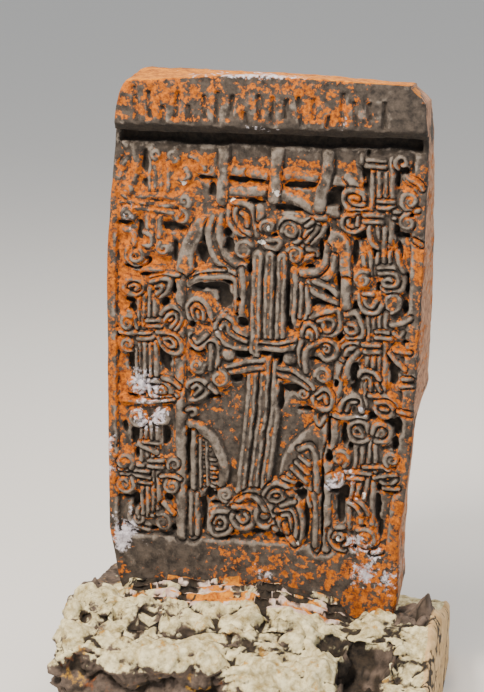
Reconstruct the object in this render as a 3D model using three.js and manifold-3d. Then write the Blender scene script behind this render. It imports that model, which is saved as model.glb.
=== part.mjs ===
// A khachkar: a carved cross-stone slab that stands in a shallow socket of a rough base stone.
// Millimetres, +Z up, the carved face looks along -Y. The origin is under the middle of the base stone.
import * as THREE from "three";
import { mergeVertices } from "three/addons/utils/BufferGeometryUtils.js";
import Module from "manifold-3d";

const wasm = await Module();
wasm.setup();

// The slab
const slabWidth = 826; // across the cornice's lower edge
const slabThickness = 200; // from the carved face to the back
const shaftLength = 1430; // from the cornice's lower edge down to the foot in the socket
const corniceHeight = 159; // the top arris over the cornice's lower edge
const corniceProud = 28; // the cornice stands in front of the carved face
const topFall = 27; // the top slopes down to the back, from the slab's middle rightwards
const rearSpread = 33; // the rear right edge stands out past the front one

// The carved field
const fieldDepth = 32; // ground of the carving behind the face
const bandStep = 4; // the plain foot band lies behind the ridges
const borderStep = 7; // the plain side borders lie behind the ridges
const borderLeft = 30;
const borderRight = 40;
const coveHeight = 42; // the dark hollow under the cornice
const coveDepth = 46;
const embed = 6; // carving reaches this far into the ground it stands on
const ridgeWidth = 12;
const ridgePitch = 14.5;
const strapPitch = 3.3; // squares between the stem's three straps
const crossDip = 5; // strands that pass under lie this much lower
const voluteRadius = 24; // centre line of a volute's outer turn
const leafStep = 10; // leaves lie behind the ridges

// The row of strokes on the cornice
const strokeWidth = 8;
const strokeDepth = 6;
const strokeGap = 36;
const strokeFoot = 24;
const strokeTall = 96;

// The base stone
const baseWidth = 1056;
const baseDepth = 760;
const baseShoulder = 330; // its top beside the slab, over the ground
const baseBrow = 270; // its top along the front edge, at the left
const browFall = 60; // the brow is lower at the right
const backFall = 30; // the top falls to the back
const rightFall = 90; // and falls away more behind the horn at the right
const footDip = 62; // the hollow before the slab's right foot
const cornerRise = 24; // the hump at the slab's left foot
const [humpLeft, humpReach] = [450, 70]; // that hump's middle, left of the slab's centre line, and its reach
const [hollowRight, hollowReach] = [250, 90]; // the hollow's middle, right of the centre line, and its reach
const topRoughness = 16;
const sideRoughness = 0.018;
const sideWave = { across: 330, back: 270, up: 90 }; // how far the sides' waves run over the block
const cornerPull = 0.04; // the corners in plan are drawn in
const browPull = 0.05; // the top is drawn in
const [baseColumns, baseRows, baseCourses] = [17, 12, 3];
const socketFloor = 170; // underside of the slab over the ground
const socketGap = 3; // round the slab's foot
const seatGap = 0.3; // under the slab's foot
const slabRight = 28; // the slab's centre line stands to the right of the base's
const faceSetback = 360; // from the base's front to the slab's carved face
const cleftWidth = 84;
const cleftDepth = 165;
const cleftRight = 292; // the cleft's middle, right of the slab's centre line
const cleftFloor = 60;
const hornHeight = 50;
const hornThickness = 26;
const hornRight = 440; // right of the slab's centre line
const hornBack = 26; // behind the slab's carved face
// the horn's outline: reach sideways, and share of its height or, where below 0, millimetres
const hornShape = [[-44, -30], [18, -30], [14, 0], [6, 1], [-6, 0.9], [-14, 0.4], [-40, 0.1]];

// The carver's grid: squares across the cornice's lower edge and down the shaft.
// Places in the carving are in squares, from the middle of the cornice's lower edge.
const squaresAcross = 82.6;
const squaresDown = 143;
const squareWide = slabWidth / squaresAcross;
const squareTall = shaftLength / squaresDown;
const bandTop = -113.5; // upper edge of the plain foot band, in squares
const belowFoot = -squaresDown - 1; // cuts run on past the foot
const at = (x, z) => new THREE.Vector2(x * squareWide, z * squareTall);

const faceY = faceSetback - baseDepth / 2;
const corniceLevel = socketFloor + seatGap + shaftLength;
const curlSteps = 7; // straight pieces in one turn of a curl
const turn = Math.PI * 2;
const [up, left, down, right] = [turn / 4, turn / 2, -turn / 4, 0];

// A closed geometry as a solid that can be joined and cut
function solid(geometry) {
  const bare = geometry.index ? geometry.toNonIndexed() : geometry.clone();
  bare.deleteAttribute("normal");
  bare.deleteAttribute("uv");
  const merged = mergeVertices(bare);
  const vertProperties = merged.attributes.position.array;
  const triVerts = new Uint32Array(merged.index.array);
  return new wasm.Manifold(new wasm.Mesh({ numProp: 3, vertProperties, triVerts }));
}

// An upright outline, x and z, made solid from one depth forward to another
function raise(outline, back, front) {
  const settings = { depth: back - front, bevelEnabled: false };
  const geometry = new THREE.ExtrudeGeometry(new THREE.Shape(outline), settings);
  geometry.rotateX(turn / 4).translate(0, back, 0);
  return solid(geometry);
}

// A strand of even width along a line of points
function strand(points, width = ridgeWidth, front = 0) {
  const side = (sign) =>
    points.map((point, i) => {
      const from = points[Math.max(i - 1, 0)];
      const to = points[Math.min(i + 1, points.length - 1)];
      const across = to.clone().sub(from).normalize().rotateAround(new THREE.Vector2(), turn / 4);
      return point.clone().addScaledVector(across, (sign * width) / 2);
    });
  return raise([...side(1), ...side(-1).reverse()], fieldDepth + embed, front);
}

// Points that curl in round a centre, from the angle where the strand arrives
function curl(centre, arrive, sense, radius = voluteRadius, turns = 0.86) {
  const steps = Math.round(turns * curlSteps);
  const closing = Math.min(ridgePitch * turns * 1.1, radius - ridgeWidth * 0.65);
  return Array.from({ length: steps + 1 }, (_, i) => {
    const angle = arrive + (sense * turns * turn * i) / steps;
    const reach = radius - (closing * i) / steps;
    return new THREE.Vector2(centre.x + reach * Math.cos(angle), centre.y + reach * Math.sin(angle));
  });
}

// A low round boss with six sides
function boss(x, z, radius) {
  const round = Array.from({ length: 6 }, (_, i) => {
    const ray = new THREE.Vector2(radius, 0).rotateAround(new THREE.Vector2(), (turn * i) / 6);
    return at(x, z).add(ray);
  });
  return raise(round, fieldDepth + embed, 0);
}

// A smooth line through squares of the grid
function line(places, pieces = places.length * 2) {
  return new THREE.SplineCurve(places.map(([x, z]) => at(x, z))).getPoints(pieces);
}

// The height of a profile, given as steps of place and size, at any place between
function between(profile, place) {
  const next = profile.findIndex(([step]) => step <= place);
  if (next < 1) return profile[next < 0 ? profile.length - 1 : 0][1];
  const [[a, from], [b, to]] = [profile[next - 1], profile[next]];
  return from + ((to - from) * (place - a)) / (b - a);
}

// Half widths of the slab down its two edges, in squares from the centre line
const leftEdge = [
  [13.4, 38.2], [12, 39.2], [-2, 41.1], [-35.4, 44.1], [-80.5, 44.5], [-112.7, 44.7], [-125, 42.4],
  [-squaresDown, 39],
];
const rightEdge = [
  [14.1, 38], [12, 40.6], [-2, 41.5], [-26.4, 41], [-47, 40.4], [-56.2, 39.9], [-84.2, 38.9], [-93, 38.1],
  [-110.2, 36], [-127.8, 36.1], [-squaresDown, 33.5],
];
// Share of the rear spread that the back's right edge shows down its height
const rearBulge = [
  [14, -0.15], [0, -0.15], [-26.4, 0.3], [-56.2, 0.6], [-70, 0.6], [-84.2, -0.35], [-110.2, 0.1],
  [-squaresDown, 0],
];

function slabOutline() {
  const crest = [at(0, 0), at(-10.1, 0)].map((point) => point.setY(corniceHeight));
  const scaleTop = (z) => (z > 0 ? (z / 15.9) * corniceHeight : z * squareTall);
  const edge = (profile, sign) =>
    profile.map(([z, half]) => new THREE.Vector2(sign * half * squareWide, scaleTop(z)));
  return [...edge(leftEdge, -1).reverse(), ...crest.reverse(), ...edge(rightEdge, 1)];
}

// The block of the slab before it is carved, with its back spread and its top falling back
function slabBlock() {
  const depth = slabThickness + corniceProud;
  const geometry = new THREE.ExtrudeGeometry(new THREE.Shape(slabOutline()), { depth, bevelEnabled: false });
  geometry.rotateX(turn / 4).translate(0, slabThickness, 0);
  const place = geometry.attributes.position;
  for (let i = 0; i < place.count; i++) {
    if (place.getY(i) < slabThickness - 1) continue;
    const z = place.getZ(i) / squareTall;
    if (place.getX(i) > 0) place.setX(i, place.getX(i) + rearSpread * between(rearBulge, z));
    const fall = topFall * THREE.MathUtils.smoothstep(place.getX(i), -slabWidth / 2, 0);
    if (z > 1) place.setZ(i, place.getZ(i) - fall);
  }
  return solid(geometry);
}

// A plate across the whole slab, between two heights in squares
function acrossSlab(high, low, back, front, trimLeft = 0, trimRight = 0) {
  const side = (profile, sign, trim) => {
    const levels = [high, ...profile.map(([z]) => z).filter((z) => z < high && z > low), low];
    const half = (z) => between(profile, z) * squareWide - trim;
    return levels.map((z) => new THREE.Vector2(sign * half(z), z * squareTall));
  };
  return raise([...side(leftEdge, -1, trimLeft), ...side(rightEdge, 1, trimRight).reverse()], back, front);
}

// Six small crosses: the centre, each arm's reach to its volutes, and the upright's lean in its height
const smallCrosses = [
  { x: -30.5, z: -20, top: 13.9, foot: 14.3, west: 8, east: 6.6, lean: 0.16 },
  { x: -32, z: -54.5, top: 12, foot: 17, west: 7.5, east: 5.4, lean: 0 },
  { x: -32.5, z: -95.5, top: 16.3, foot: 13.9, west: 7.6, east: 6, lean: 0 },
  { x: 29.6, z: -19.5, top: 12.6, foot: 18.1, west: 7.8, east: 7.4, lean: 0.06 },
  { x: 28.6, z: -55, top: 11.1, foot: 18.2, west: 6.8, east: 7.6, lean: 0.07 },
  { x: 25.6, z: -91, top: 10.7, foot: 20.5, west: 7, east: 7.6, lean: 0.14 },
];
const voluteSpread = 3.8; // squares from an upright's middle line to its two volutes
const armSpread = 3.4; // squares from an arm's middle line to its two volutes

// One small cross: four ridges each way, the outer ones curl outwards at their ends
function smallCross({ x, z, top, foot, west, east, lean }) {
  const pieces = [];
  const upright = (side, rise) => at(x + side + lean * rise, z + rise);
  const [near, far] = [ridgePitch / 2 / squareWide, (ridgePitch * 1.55) / squareWide];
  for (const side of [-1, 1]) {
    const inner = side > 0 ? left : right;
    const high = curl(upright(side * voluteSpread, top), inner, -side);
    const low = curl(upright(side * voluteSpread, -foot), inner, side);
    const outer = [upright(side * far, top - 5), upright(side * far, 5 - foot)];
    pieces.push(strand([...high.reverse(), ...outer, ...low]));
    pieces.push(strand([upright(side * near, top - 1), upright(side * near, 1 - foot)]));
    const lower = side > 0 ? down : up;
    const armZ = z + side * armSpread;
    const barZ = z + side * near;
    const westTip = curl(at(x - west, armZ), lower, -side);
    const eastTip = curl(at(x + east, armZ), lower, side);
    pieces.push(strand([...westTip.reverse(), ...eastTip], ridgeWidth, crossDip));
    pieces.push(strand([at(x - west + 1, barZ), at(x + east - 1, barZ)], ridgeWidth, crossDip));
  }
  const knot = [upright(0, -armSpread / 2), upright(0, armSpread / 2)];
  pieces.push(strand(knot, ridgePitch * 4, crossDip));
  return pieces;
}

// The arms' straps, from the tip towards the stem, with the volute that the outer ridge of each ends in
const armStraps = [
  { run: [[-12, -55.5], [-6, -58], [6, -58.3]], volute: { x: -12, z: -52.2 }, rise: 1 },
  { run: [[-12, -65], [-5, -62.4], [3.1, -61.8]], volute: { x: -13.4, z: -67 }, rise: -1 },
  { run: [[9, -56], [2, -58.2], [-5, -58.3]], volute: { x: 11.5, z: -53.3 }, rise: 1 },
  { run: [[11.5, -68.3], [7, -65.5], [2.5, -63.8], [-4, -63.2]], volute: { x: 13.6, z: -71.4 }, rise: -1 },
];

// Free volutes of the great cross: round its head, then at the ends of its arms
const greatVolutes = [
  { x: 0, z: -25, size: 20, arrive: down, sense: -1 },
  { x: 5.5, z: -25.5, size: 22, arrive: down, sense: 1 },
  { x: -6.5, z: -31, size: 25, arrive: right, sense: 1 },
  { x: 7, z: -32, size: 25, arrive: left, sense: -1 },
  { x: -19.3, z: -48.4, size: 30, arrive: down, sense: 1 },
  { x: -19.3, z: -56.3, size: 25, arrive: up, sense: -1 },
  { x: -19.2, z: -63.8, size: 25, arrive: down, sense: -1 },
  { x: -19.2, z: -70.8, size: 21, arrive: right, sense: 1 },
  { x: 15, z: -50.2, size: 34, arrive: down, sense: -1 },
  { x: 15.6, z: -57.8, size: 25, arrive: left, sense: -1 },
  { x: 14.6, z: -65.2, size: 25, arrive: left, sense: 1 },
  { x: 8.8, z: -70.4, size: 20, arrive: up, sense: 1 },
];

// Strands that tie the volutes of each arm's end together, and the loops of the head
const greatTies = [
  [[-15.6, -44.6], [-13.2, -48.6], [-15.4, -52.6]],
  [[-15.8, -56.6], [-14.6, -60.4], [-15.8, -64.4]],
  [[9.2, -57.6], [8.2, -61.5], [10.8, -65.4]],
  [[10.8, -57.2], [10, -61], [12.2, -63.4]],
  [[10.6, -49.4], [13.4, -46.2], [18.2, -46.8]],
  [[-10.4, -21.4], [-9.6, -25.4], [-5, -28.4]],
  [[-8.8, -21], [-5.2, -22.4], [-4.6, -27]],
];

// The great cross: a stem of three double straps that leans a little, and two arms of two double straps
function greatCross() {
  const pieces = [];
  const spine = [[0.4, -32.5], [-0.3, -55], [-1.5, -75], [-4.2, -99]];
  for (const strap of [-1, 0, 1]) {
    for (const side of [-0.5, 0.5]) {
      const off = strap * strapPitch + (side * ridgePitch) / squareWide;
      pieces.push(strand(spine.map(([x, z]) => at(x + off, z))));
    }
  }
  for (const { run, volute, rise } of armStraps) {
    for (const side of [-0.5, 0.5]) {
      const ridge = run.map(([x, z]) => at(x, z + (side * ridgePitch) / squareTall));
      const tip = curl(at(volute.x, volute.z), rise > 0 ? down : up, Math.sign(volute.x) * rise).reverse();
      const points = side * rise < 0 ? [...tip, ...ridge.slice(1)] : ridge;
      pieces.push(strand(points, ridgeWidth, crossDip));
    }
  }
  for (const { x, z, size, arrive, sense } of greatVolutes) {
    pieces.push(strand(curl(at(x, z), arrive, sense, size, size > voluteRadius + 5 ? 1.25 : 0.86)));
  }
  for (const tie of greatTies) pieces.push(strand(line(tie, 4), ridgeWidth, crossDip));
  const headLeaf = line([[7.5, -27], [9.5, -22.8], [15, -21.6], [14.2, -26.5], [9.6, -29.4]], 7);
  pieces.push(raise(headLeaf, fieldDepth + embed, leafStep / 2));
  pieces.push(boss(-10.5, -60.3, 18), boss(5.8, -60.5, 17));
  return pieces;
}

// The rail of three little crosses under the cornice
function rail() {
  const posts = [
    [[-12, -2.5], [-12, -19]],
    [[2.3, -3.5], [2.3, -16]],
    [[15.5, -4], [15.3, -13], [13.8, -20]],
  ];
  const bars = [
    [[-17.5, -10.6], [0, -11.2], [21, -10.8]],
    [[-11, -16], [-1, -15.8]],
    [[3, -16], [11, -20.3], [17.5, -20.5]],
  ];
  return [
    ...posts.map((places) => strand(places.map(([x, z]) => at(x, z)), 23)),
    ...bars.map((places) => strand(places.map(([x, z]) => at(x, z)), 22, crossDip)),
  ];
}

// The frame of the niche: a plain band up each side, the shoulders of the arch and their beaks
function niche() {
  const bandWidth = 24;
  const foot = bandTop - 0.3;
  const rightBand = [
    [17.5, -24], [20.7, -33], [20.9, -46], [20, -60], [18.7, -72], [16.3, -96], [16.2, foot],
  ];
  return [
    strand(line([[-15.5, -22.5], [-20.5, -28], [-23, -36.5]]), bandWidth * 1.9, crossDip),
    strand([at(-23.8, -35), at(-23.8, -70), at(-23.8, foot)], bandWidth),
    strand(rightBand.map(([x, z]) => at(x, z)), bandWidth),
    strand(line([[-15, -25], [-16, -31], [-14, -35.5]], 4), ridgeWidth, crossDip),
    strand(line([[-13, -24], [-12, -32], [-8.5, -35.5]], 4)),
    strand(line([[-22, -40], [-15, -38.4], [-9.2, -39.5], [-7.6, -50.5]], 7), 17),
    strand(line([[19, -27], [17.7, -33.3], [14.3, -37], [9.7, -38.3]], 6), 30, crossDip),
    strand(line([[8.2, -36.6], [8.6, -44], [7.6, -50]], 4), 18),
    strand([at(9.5, -39.8), at(14, -41.8), at(19.5, -45)], 17),
  ];
}

// The two leaves that stand in the niche, each a curved plate with a rim and ribs
function leaves() {
  const leftRim = line([[-22, -80.3], [-16, -83], [-12.5, -89], [-11.5, -95], [-14, -98.3], [-18.5, -100.2]]);
  const rightRim = line([
    [15, -76.5], [9, -81], [5, -86], [2.5, -91], [2.5, -94.8], [7, -95], [12, -100], [14.2, -105],
  ]);
  const plate = (rim, ...rest) =>
    raise([...rim, ...rest.map(([x, z]) => at(x, z))], fieldDepth + embed, leafStep);
  const foot = bandTop - 0.3;
  const pieces = [
    plate(leftRim, [-18.5, foot], [-22.8, foot], [-22.5, -98]),
    plate(rightRim, [14.2, foot], [17, foot], [17, -80]),
    strand(leftRim, 17, crossDip),
    strand(rightRim.slice(0, 9), 15, crossDip),
  ];
  for (let rib = 0; rib < 5; rib++) {
    pieces.push(strand([at(-20.5, -86 - rib * 2.6), at(-14.2, -87 - rib * 2.4)], 9, crossDip));
    const [low, high] = [at(5.4 + rib * 1.9, -95.6 - rib), at(10 + rib * 1.3, -87 - rib * 2.8)];
    if (rib < 4) pieces.push(strand([low, high], 10, crossDip));
  }
  return pieces;
}

// The palmette under the stem: curls each side of a double S strand and a pointed leaf
function palmette() {
  const sweep = line([[-9, -99.6], [-5, -99.2], [-1, -102], [2.5, -107]], 6);
  const loop = line([[-3.4, -101.5], [-2.5, -106], [1, -109.5], [4, -106.5]], 6);
  const tip = line([[2, -104], [6, -102.8], [9.4, -106], [9.8, -113.6], [6.5, -112], [3, -108.5]], 8);
  return [
    strand([...curl(at(-11.6, -100.3), right, 1).reverse(), ...sweep.slice(1)]),
    strand(curl(at(-13.2, -109), up, 1, 27, 1.3)),
    strand(curl(at(-7, -107), up, -1, 25), ridgeWidth, crossDip),
    strand(loop, ridgeWidth, crossDip),
    strand(curl(at(2, -99.5), down, 1)),
    strand(line([[4, -102.5], [8, -104.5], [9.2, -113.2]], 5), 13),
    raise(tip, fieldDepth + embed, leafStep),
  ];
}

// Upright and leaning strokes cut along the cornice, a row of marks and no writing
function strokes() {
  const count = Math.floor((slabWidth - strokeGap * 2) / strokeGap);
  return Array.from({ length: count }, (_, i) => {
    const x = -slabWidth / 2 + strokeGap * (i + 1.5);
    const shorter = (i % 3) * 0.18 + (i % 5) * 0.07;
    const low = strokeFoot + (i % 2) * shorter * strokeTall * 0.5;
    const high = low + strokeTall * (1 - shorter);
    const slant = ((i % 4) - 1.5) * 2.5;
    const half = strokeWidth / 2;
    const [foot, head] = [x - slant, x + slant];
    const mark = [[foot - half, low], [foot + half, low], [head + half, high], [head - half, high]];
    const outline = mark.map(([u, v]) => new THREE.Vector2(u, v));
    return raise(outline, strokeDepth - corniceProud, -corniceProud - embed);
  });
}

function slab() {
  const front = -corniceProud - embed;
  let body = slabBlock()
    .subtract(acrossSlab(0, belowFoot, 0, front, -rearSpread * 2, -rearSpread * 2))
    .subtract(acrossSlab(-1.5, bandTop, fieldDepth, front, borderLeft, borderRight))
    .subtract(acrossSlab(0, -coveHeight / squareTall, coveDepth, front, borderLeft / 2, borderRight / 2))
    .subtract(acrossSlab(0, bandTop, borderStep, front, -rearSpread, -rearSpread))
    .subtract(acrossSlab(bandTop, belowFoot, bandStep, front, -rearSpread * 2, -rearSpread * 2));
  const crosses = [...rail(), ...smallCrosses.flatMap(smallCross), ...greatCross()];
  for (const piece of [...crosses, ...niche(), ...leaves(), ...palmette()]) body = body.add(piece);
  for (const mark of strokes()) body = body.subtract(mark);
  return body;
}

// Waves that stand for the broken faces of the base stone: lengths across and back, start and share
const waves = [
  { across: 43, back: 57, start: 0, share: 0.5 },
  { across: 27, back: -33, start: 1.7, share: 0.3 },
  { across: 19, back: 36, start: 0.4, share: 0.2 },
];
const ruggedness = (x, y) =>
  waves.reduce((sum, wave) => sum + wave.share * Math.sin(x / wave.across + y / wave.back + wave.start), 0);

// The base stone's top over the ground, by its place from the slab's centre line and carved face
function baseTop(x, y) {
  const { clamp, lerp, smoothstep } = THREE.MathUtils;
  const hump = (middle, reach) => Math.exp(-(((x - middle) / reach) ** 2));
  const forward = clamp(-y / faceSetback, 0, 1);
  const brow = baseBrow - browFall * smoothstep(x, 0, baseWidth / 4);
  const shoulder =
    baseShoulder + cornerRise * hump(-humpLeft, humpReach) - footDip * hump(hollowRight, hollowReach);
  const back = backFall * smoothstep(y, slabThickness, baseDepth - faceSetback) +
    rightFall * smoothstep(x, hollowRight, hornRight) * smoothstep(y, hornBack, slabThickness);
  return lerp(shoulder, brow, forward) - back + topRoughness * ruggedness(x, y);
}

// Brings a geometry out to the stated width and depth, with the origin under its middle
function fitBox(geometry) {
  geometry.computeBoundingBox();
  const { min, max } = geometry.boundingBox;
  geometry.translate(-(min.x + max.x) / 2, -(min.y + max.y) / 2, -min.z);
  geometry.scale(baseWidth / (max.x - min.x), baseDepth / (max.y - min.y), 1);
  return geometry;
}

// The dark cleft in the base's front, narrower towards the slab
function cleft() {
  const [wide, narrow] = [cleftWidth / 2, cleftWidth / 5];
  const plan = [[-wide, -embed], [wide, -embed], [narrow, cleftDepth], [-narrow, cleftDepth]];
  const shape = new THREE.Shape(plan.map(([x, y]) => new THREE.Vector2(x, y)));
  const geometry = new THREE.ExtrudeGeometry(shape, { depth: baseShoulder * 2, bevelEnabled: false });
  return solid(geometry.translate(slabRight + cleftRight, -baseDepth / 2, cleftFloor));
}

// A thin horn of stone left standing on the right of the base
function horn() {
  const fin = hornShape.map(([x, rise]) => new THREE.Vector2(x, rise > 0 ? rise * hornHeight : rise));
  return raise(fin, hornThickness / 2, -hornThickness / 2);
}

function baseStone() {
  const geometry = new THREE.BoxGeometry(2, 2, 1, baseColumns, baseRows, baseCourses);
  const place = geometry.attributes.position;
  for (let i = 0; i < place.count; i++) {
    const [s, t, h] = [place.getX(i), place.getY(i), place.getZ(i) + 0.5];
    const wave = ruggedness(t * sideWave.across + h * sideWave.up, s * sideWave.back);
    const pull = 1 - cornerPull * (s * t) ** 4 - browPull * h ** 3 + sideRoughness * wave;
    const [x, y] = [(s * pull * baseWidth) / 2, (t * pull * baseDepth) / 2];
    place.setXYZ(i, x, y, h * baseTop(x - slabRight, y - faceY));
  }
  const floor = -squaresDown - seatGap / squareTall;
  const socket = acrossSlab(-100, floor, slabThickness + socketGap, -socketGap, -socketGap, -socketGap);
  return solid(fitBox(geometry))
    .add(horn().translate([slabRight + hornRight, faceY + hornBack, baseTop(hornRight, hornBack)]))
    .subtract(socket.translate([slabRight, faceY, corniceLevel]))
    .subtract(cleft());
}

// A solid as a named mesh of its own stone
function mesh(name, body, colour, roughness) {
  const { vertProperties, triVerts } = body.getMesh();
  const geometry = new THREE.BufferGeometry();
  geometry.setAttribute("position", new THREE.BufferAttribute(vertProperties, 3));
  geometry.setIndex(new THREE.BufferAttribute(triVerts, 1));
  geometry.computeVertexNormals();
  const stone = new THREE.MeshStandardMaterial({ color: colour, roughness, metalness: 0 });
  const piece = new THREE.Mesh(geometry, stone);
  piece.name = name;
  return piece;
}

const khachkar = new THREE.Group();
const carvedSlab = mesh("slab", slab(), 0x8c6a4c, 0.9);
carvedSlab.position.set(slabRight, faceY, corniceLevel);
khachkar.add(carvedSlab, mesh("base_stone", baseStone(), 0xd2c39c, 0.95));

export default khachkar;
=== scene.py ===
import itertools
import math

import bmesh
import bpy
import numpy as np
from mathutils import Euler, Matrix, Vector


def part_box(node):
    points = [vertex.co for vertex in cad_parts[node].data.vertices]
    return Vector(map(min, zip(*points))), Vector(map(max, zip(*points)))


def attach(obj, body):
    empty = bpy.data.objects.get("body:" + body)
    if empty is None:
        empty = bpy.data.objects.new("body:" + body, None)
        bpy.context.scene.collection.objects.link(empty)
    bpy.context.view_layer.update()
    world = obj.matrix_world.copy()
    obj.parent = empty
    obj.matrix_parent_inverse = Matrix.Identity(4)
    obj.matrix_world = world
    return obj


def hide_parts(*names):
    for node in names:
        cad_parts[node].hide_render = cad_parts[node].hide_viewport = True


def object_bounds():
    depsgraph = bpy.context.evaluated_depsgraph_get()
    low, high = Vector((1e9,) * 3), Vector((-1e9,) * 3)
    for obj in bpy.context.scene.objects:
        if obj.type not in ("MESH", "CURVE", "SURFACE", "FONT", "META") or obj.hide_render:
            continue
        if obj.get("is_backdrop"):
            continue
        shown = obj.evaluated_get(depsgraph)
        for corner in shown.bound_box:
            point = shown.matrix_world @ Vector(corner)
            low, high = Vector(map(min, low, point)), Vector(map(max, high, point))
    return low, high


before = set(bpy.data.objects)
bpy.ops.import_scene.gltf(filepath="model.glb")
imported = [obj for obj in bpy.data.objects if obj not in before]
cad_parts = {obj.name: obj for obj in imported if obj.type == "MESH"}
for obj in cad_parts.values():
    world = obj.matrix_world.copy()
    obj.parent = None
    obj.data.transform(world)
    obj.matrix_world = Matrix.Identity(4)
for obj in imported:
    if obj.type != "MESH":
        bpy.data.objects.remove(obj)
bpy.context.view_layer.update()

mm = 0.001

# the camera, the floor and the studio
studio = {
    "lens": 106.65, "place": (0.8709, -5.19685, 2.58245), "pitch": 73.5, "heading": 10.0,
    "floorSize": 40.0, "floorColour": "#eceae6", "skyColour": "#eef1f5", "sky": 0.58,
}


def linear(colour):
    # "#rrggbb" as written in a paint program, as linear red, green, blue, alpha
    parts = [int(colour[i:i + 2], 16) / 255 for i in (1, 3, 5)]
    return (*[c / 12.92 if c <= 0.04045 else ((c + 0.055) / 1.055) ** 2.4 for c in parts], 1.0)


def addNode(tree, kind, links=None, **settings):
    # one node with its settings; links holds values or the sockets that feed it
    made = tree.nodes.new(kind)
    for name, value in settings.items():
        setattr(made, name, value)
    for socket, value in (links or {}).items():
        if isinstance(value, bpy.types.NodeSocket):
            tree.links.new(value, made.inputs[socket])
        else:
            made.inputs[socket].default_value = value
    return made


def newMaterial(name):
    made = bpy.data.materials.new(name)
    made.use_nodes = True
    made.node_tree.nodes.clear()
    return made, made.node_tree


cameraData = bpy.data.cameras.new("camera")
cameraData.lens = studio["lens"]
camera = bpy.data.objects.new("camera", cameraData)
camera.location = studio["place"]
camera.rotation_euler = (math.radians(studio["pitch"]), 0, math.radians(studio["heading"]))
bpy.context.collection.objects.link(camera)
bpy.context.scene.camera = camera

# matt painted studio floor: even, pale, no gloss
floorMaterial, tree = newMaterial("matt painted floor")
paint = addNode(tree, "ShaderNodeBsdfPrincipled", {"Base Color": linear(studio["floorColour"]), "Roughness": 0.9})
addNode(tree, "ShaderNodeOutputMaterial", {"Surface": paint.outputs["BSDF"]})
bm = bmesh.new()
bmesh.ops.create_grid(bm, x_segments=1, y_segments=1, size=studio["floorSize"])
floorMesh = bpy.data.meshes.new("floor")
bm.to_mesh(floorMesh)
bm.free()
floorMesh.materials.append(floorMaterial)
floor = bpy.data.objects.new("floor", floorMesh)
bpy.context.collection.objects.link(floor)
floor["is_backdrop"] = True

world = bpy.data.worlds.new("studio")
world.use_nodes = True
world.node_tree.nodes["Background"].inputs["Color"].default_value = linear(studio["skyColour"])
world.node_tree.nodes["Background"].inputs["Strength"].default_value = studio["sky"]
bpy.context.scene.world = world

lamps = [  # place, aim, size, watts, colour
    ((-1.7, -3.0, 5.2), (0, 0, 0.9), 1.3, 425, "#fff2e2"),  # the main light, from the upper left
    ((-0.4, -1.7, 5.4), (0, -0.3, 0.3), 1.2, 110, "#fff2e2"),  # from above, down the carving
    ((3.4, -3.6, 2.8), (0, 0, 0.8), 3.0, 45, "#eef3ff"),  # fills the right flank
    ((0.8, 3.0, 4.0), (0, 0, 1.2), 2.6, 120, "#fff6ea"),  # from behind
]
for place, aim, size, watts, colour in lamps:
    lampData = bpy.data.lights.new("lamp", "AREA")
    lampData.shape = "DISK"
    lampData.size = size
    lampData.energy = watts
    lampData.color = linear(colour)[:3]
    lamp = bpy.data.objects.new("lamp", lampData)
    lamp.location = place
    lamp.rotation_euler = (Vector(aim) - Vector(place)).to_track_quat("-Z", "Y").to_euler()
    bpy.context.collection.objects.link(lamp)
print("camera, floor and lamps made")


# what both stones are made with
def lumps(places, size, seed):
    # smooth random heights from -1 to 1 with lumps as wide as size; places is one array for each axis
    cells = [np.asarray(place, float) / size for place in places]
    low = [np.floor(cell).astype(int) for cell in cells]
    part = [cell - base for cell, base in zip(cells, low)]
    part = [p * p * (3 - 2 * p) for p in part]
    low = [base - base.min() for base in low]
    lattice = np.random.default_rng(seed).uniform(-1, 1, [base.max() + 2 for base in low])
    total = 0
    for corner in itertools.product((0, 1), repeat=len(cells)):
        weight = 1
        for c, p in zip(corner, part):
            weight = weight * (p if c else 1 - p)
        total = total + weight * lattice[tuple(base + c for base, c in zip(low, corner))]
    return total


def rough(places, size, seed, octaves):
    # lumps with finer ones on them, each octave half as wide and half as high
    return sum(lumps(places, size / 2 ** i, seed + i) * 0.5 ** i for i in range(octaves))


def step(low, high, value):
    # rises smoothly from 0 at low to 1 at high
    t = np.clip((value - low) / (high - low), 0, 1)
    return t * t * (3 - 2 * t)


def hump(away, reach):
    # 1 in the middle, and near 0 beyond twice its reach
    return np.exp(-(away / reach) ** 2)


def softened(field, reach):
    # a field of heights blurred by about reach cells each way
    steps = np.arange(-int(reach * 2.5), int(reach * 2.5) + 1)
    weights = np.exp(-0.5 * (steps / reach) ** 2)
    weights /= weights.sum()
    edge = len(steps) // 2
    padded = np.pad(field, edge, mode="edge")
    down = sum(w * padded[i:i + field.shape[0], :] for i, w in enumerate(weights))
    return sum(w * down[:, i:i + field.shape[1]] for i, w in enumerate(weights))


def blank(name, columns, rows, layers):
    # a closed unit block, x and y from 0 to 1 in columns and rows, z from 0 to 1 in layers
    bm = bmesh.new()
    made = bmesh.ops.create_grid(bm, x_segments=columns, y_segments=rows, size=0.5)
    bmesh.ops.translate(bm, verts=made["verts"], vec=(0.5, 0.5, 0))
    lid = bmesh.ops.extrude_face_region(bm, geom=bm.faces[:], use_keep_orig=True)
    raised = [v for v in lid["geom"] if isinstance(v, bmesh.types.BMVert)]
    bmesh.ops.translate(bm, verts=raised, vec=(0, 0, 1))
    posts = [e for e in bm.edges if abs(e.verts[0].co.z - e.verts[1].co.z) > 0.5]
    bmesh.ops.subdivide_edges(bm, edges=posts, cuts=layers - 1, use_grid_fill=False)
    bmesh.ops.recalc_face_normals(bm, faces=bm.faces[:])
    mesh = bpy.data.meshes.new(name)
    bm.to_mesh(mesh)
    bm.free()
    return mesh


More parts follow.
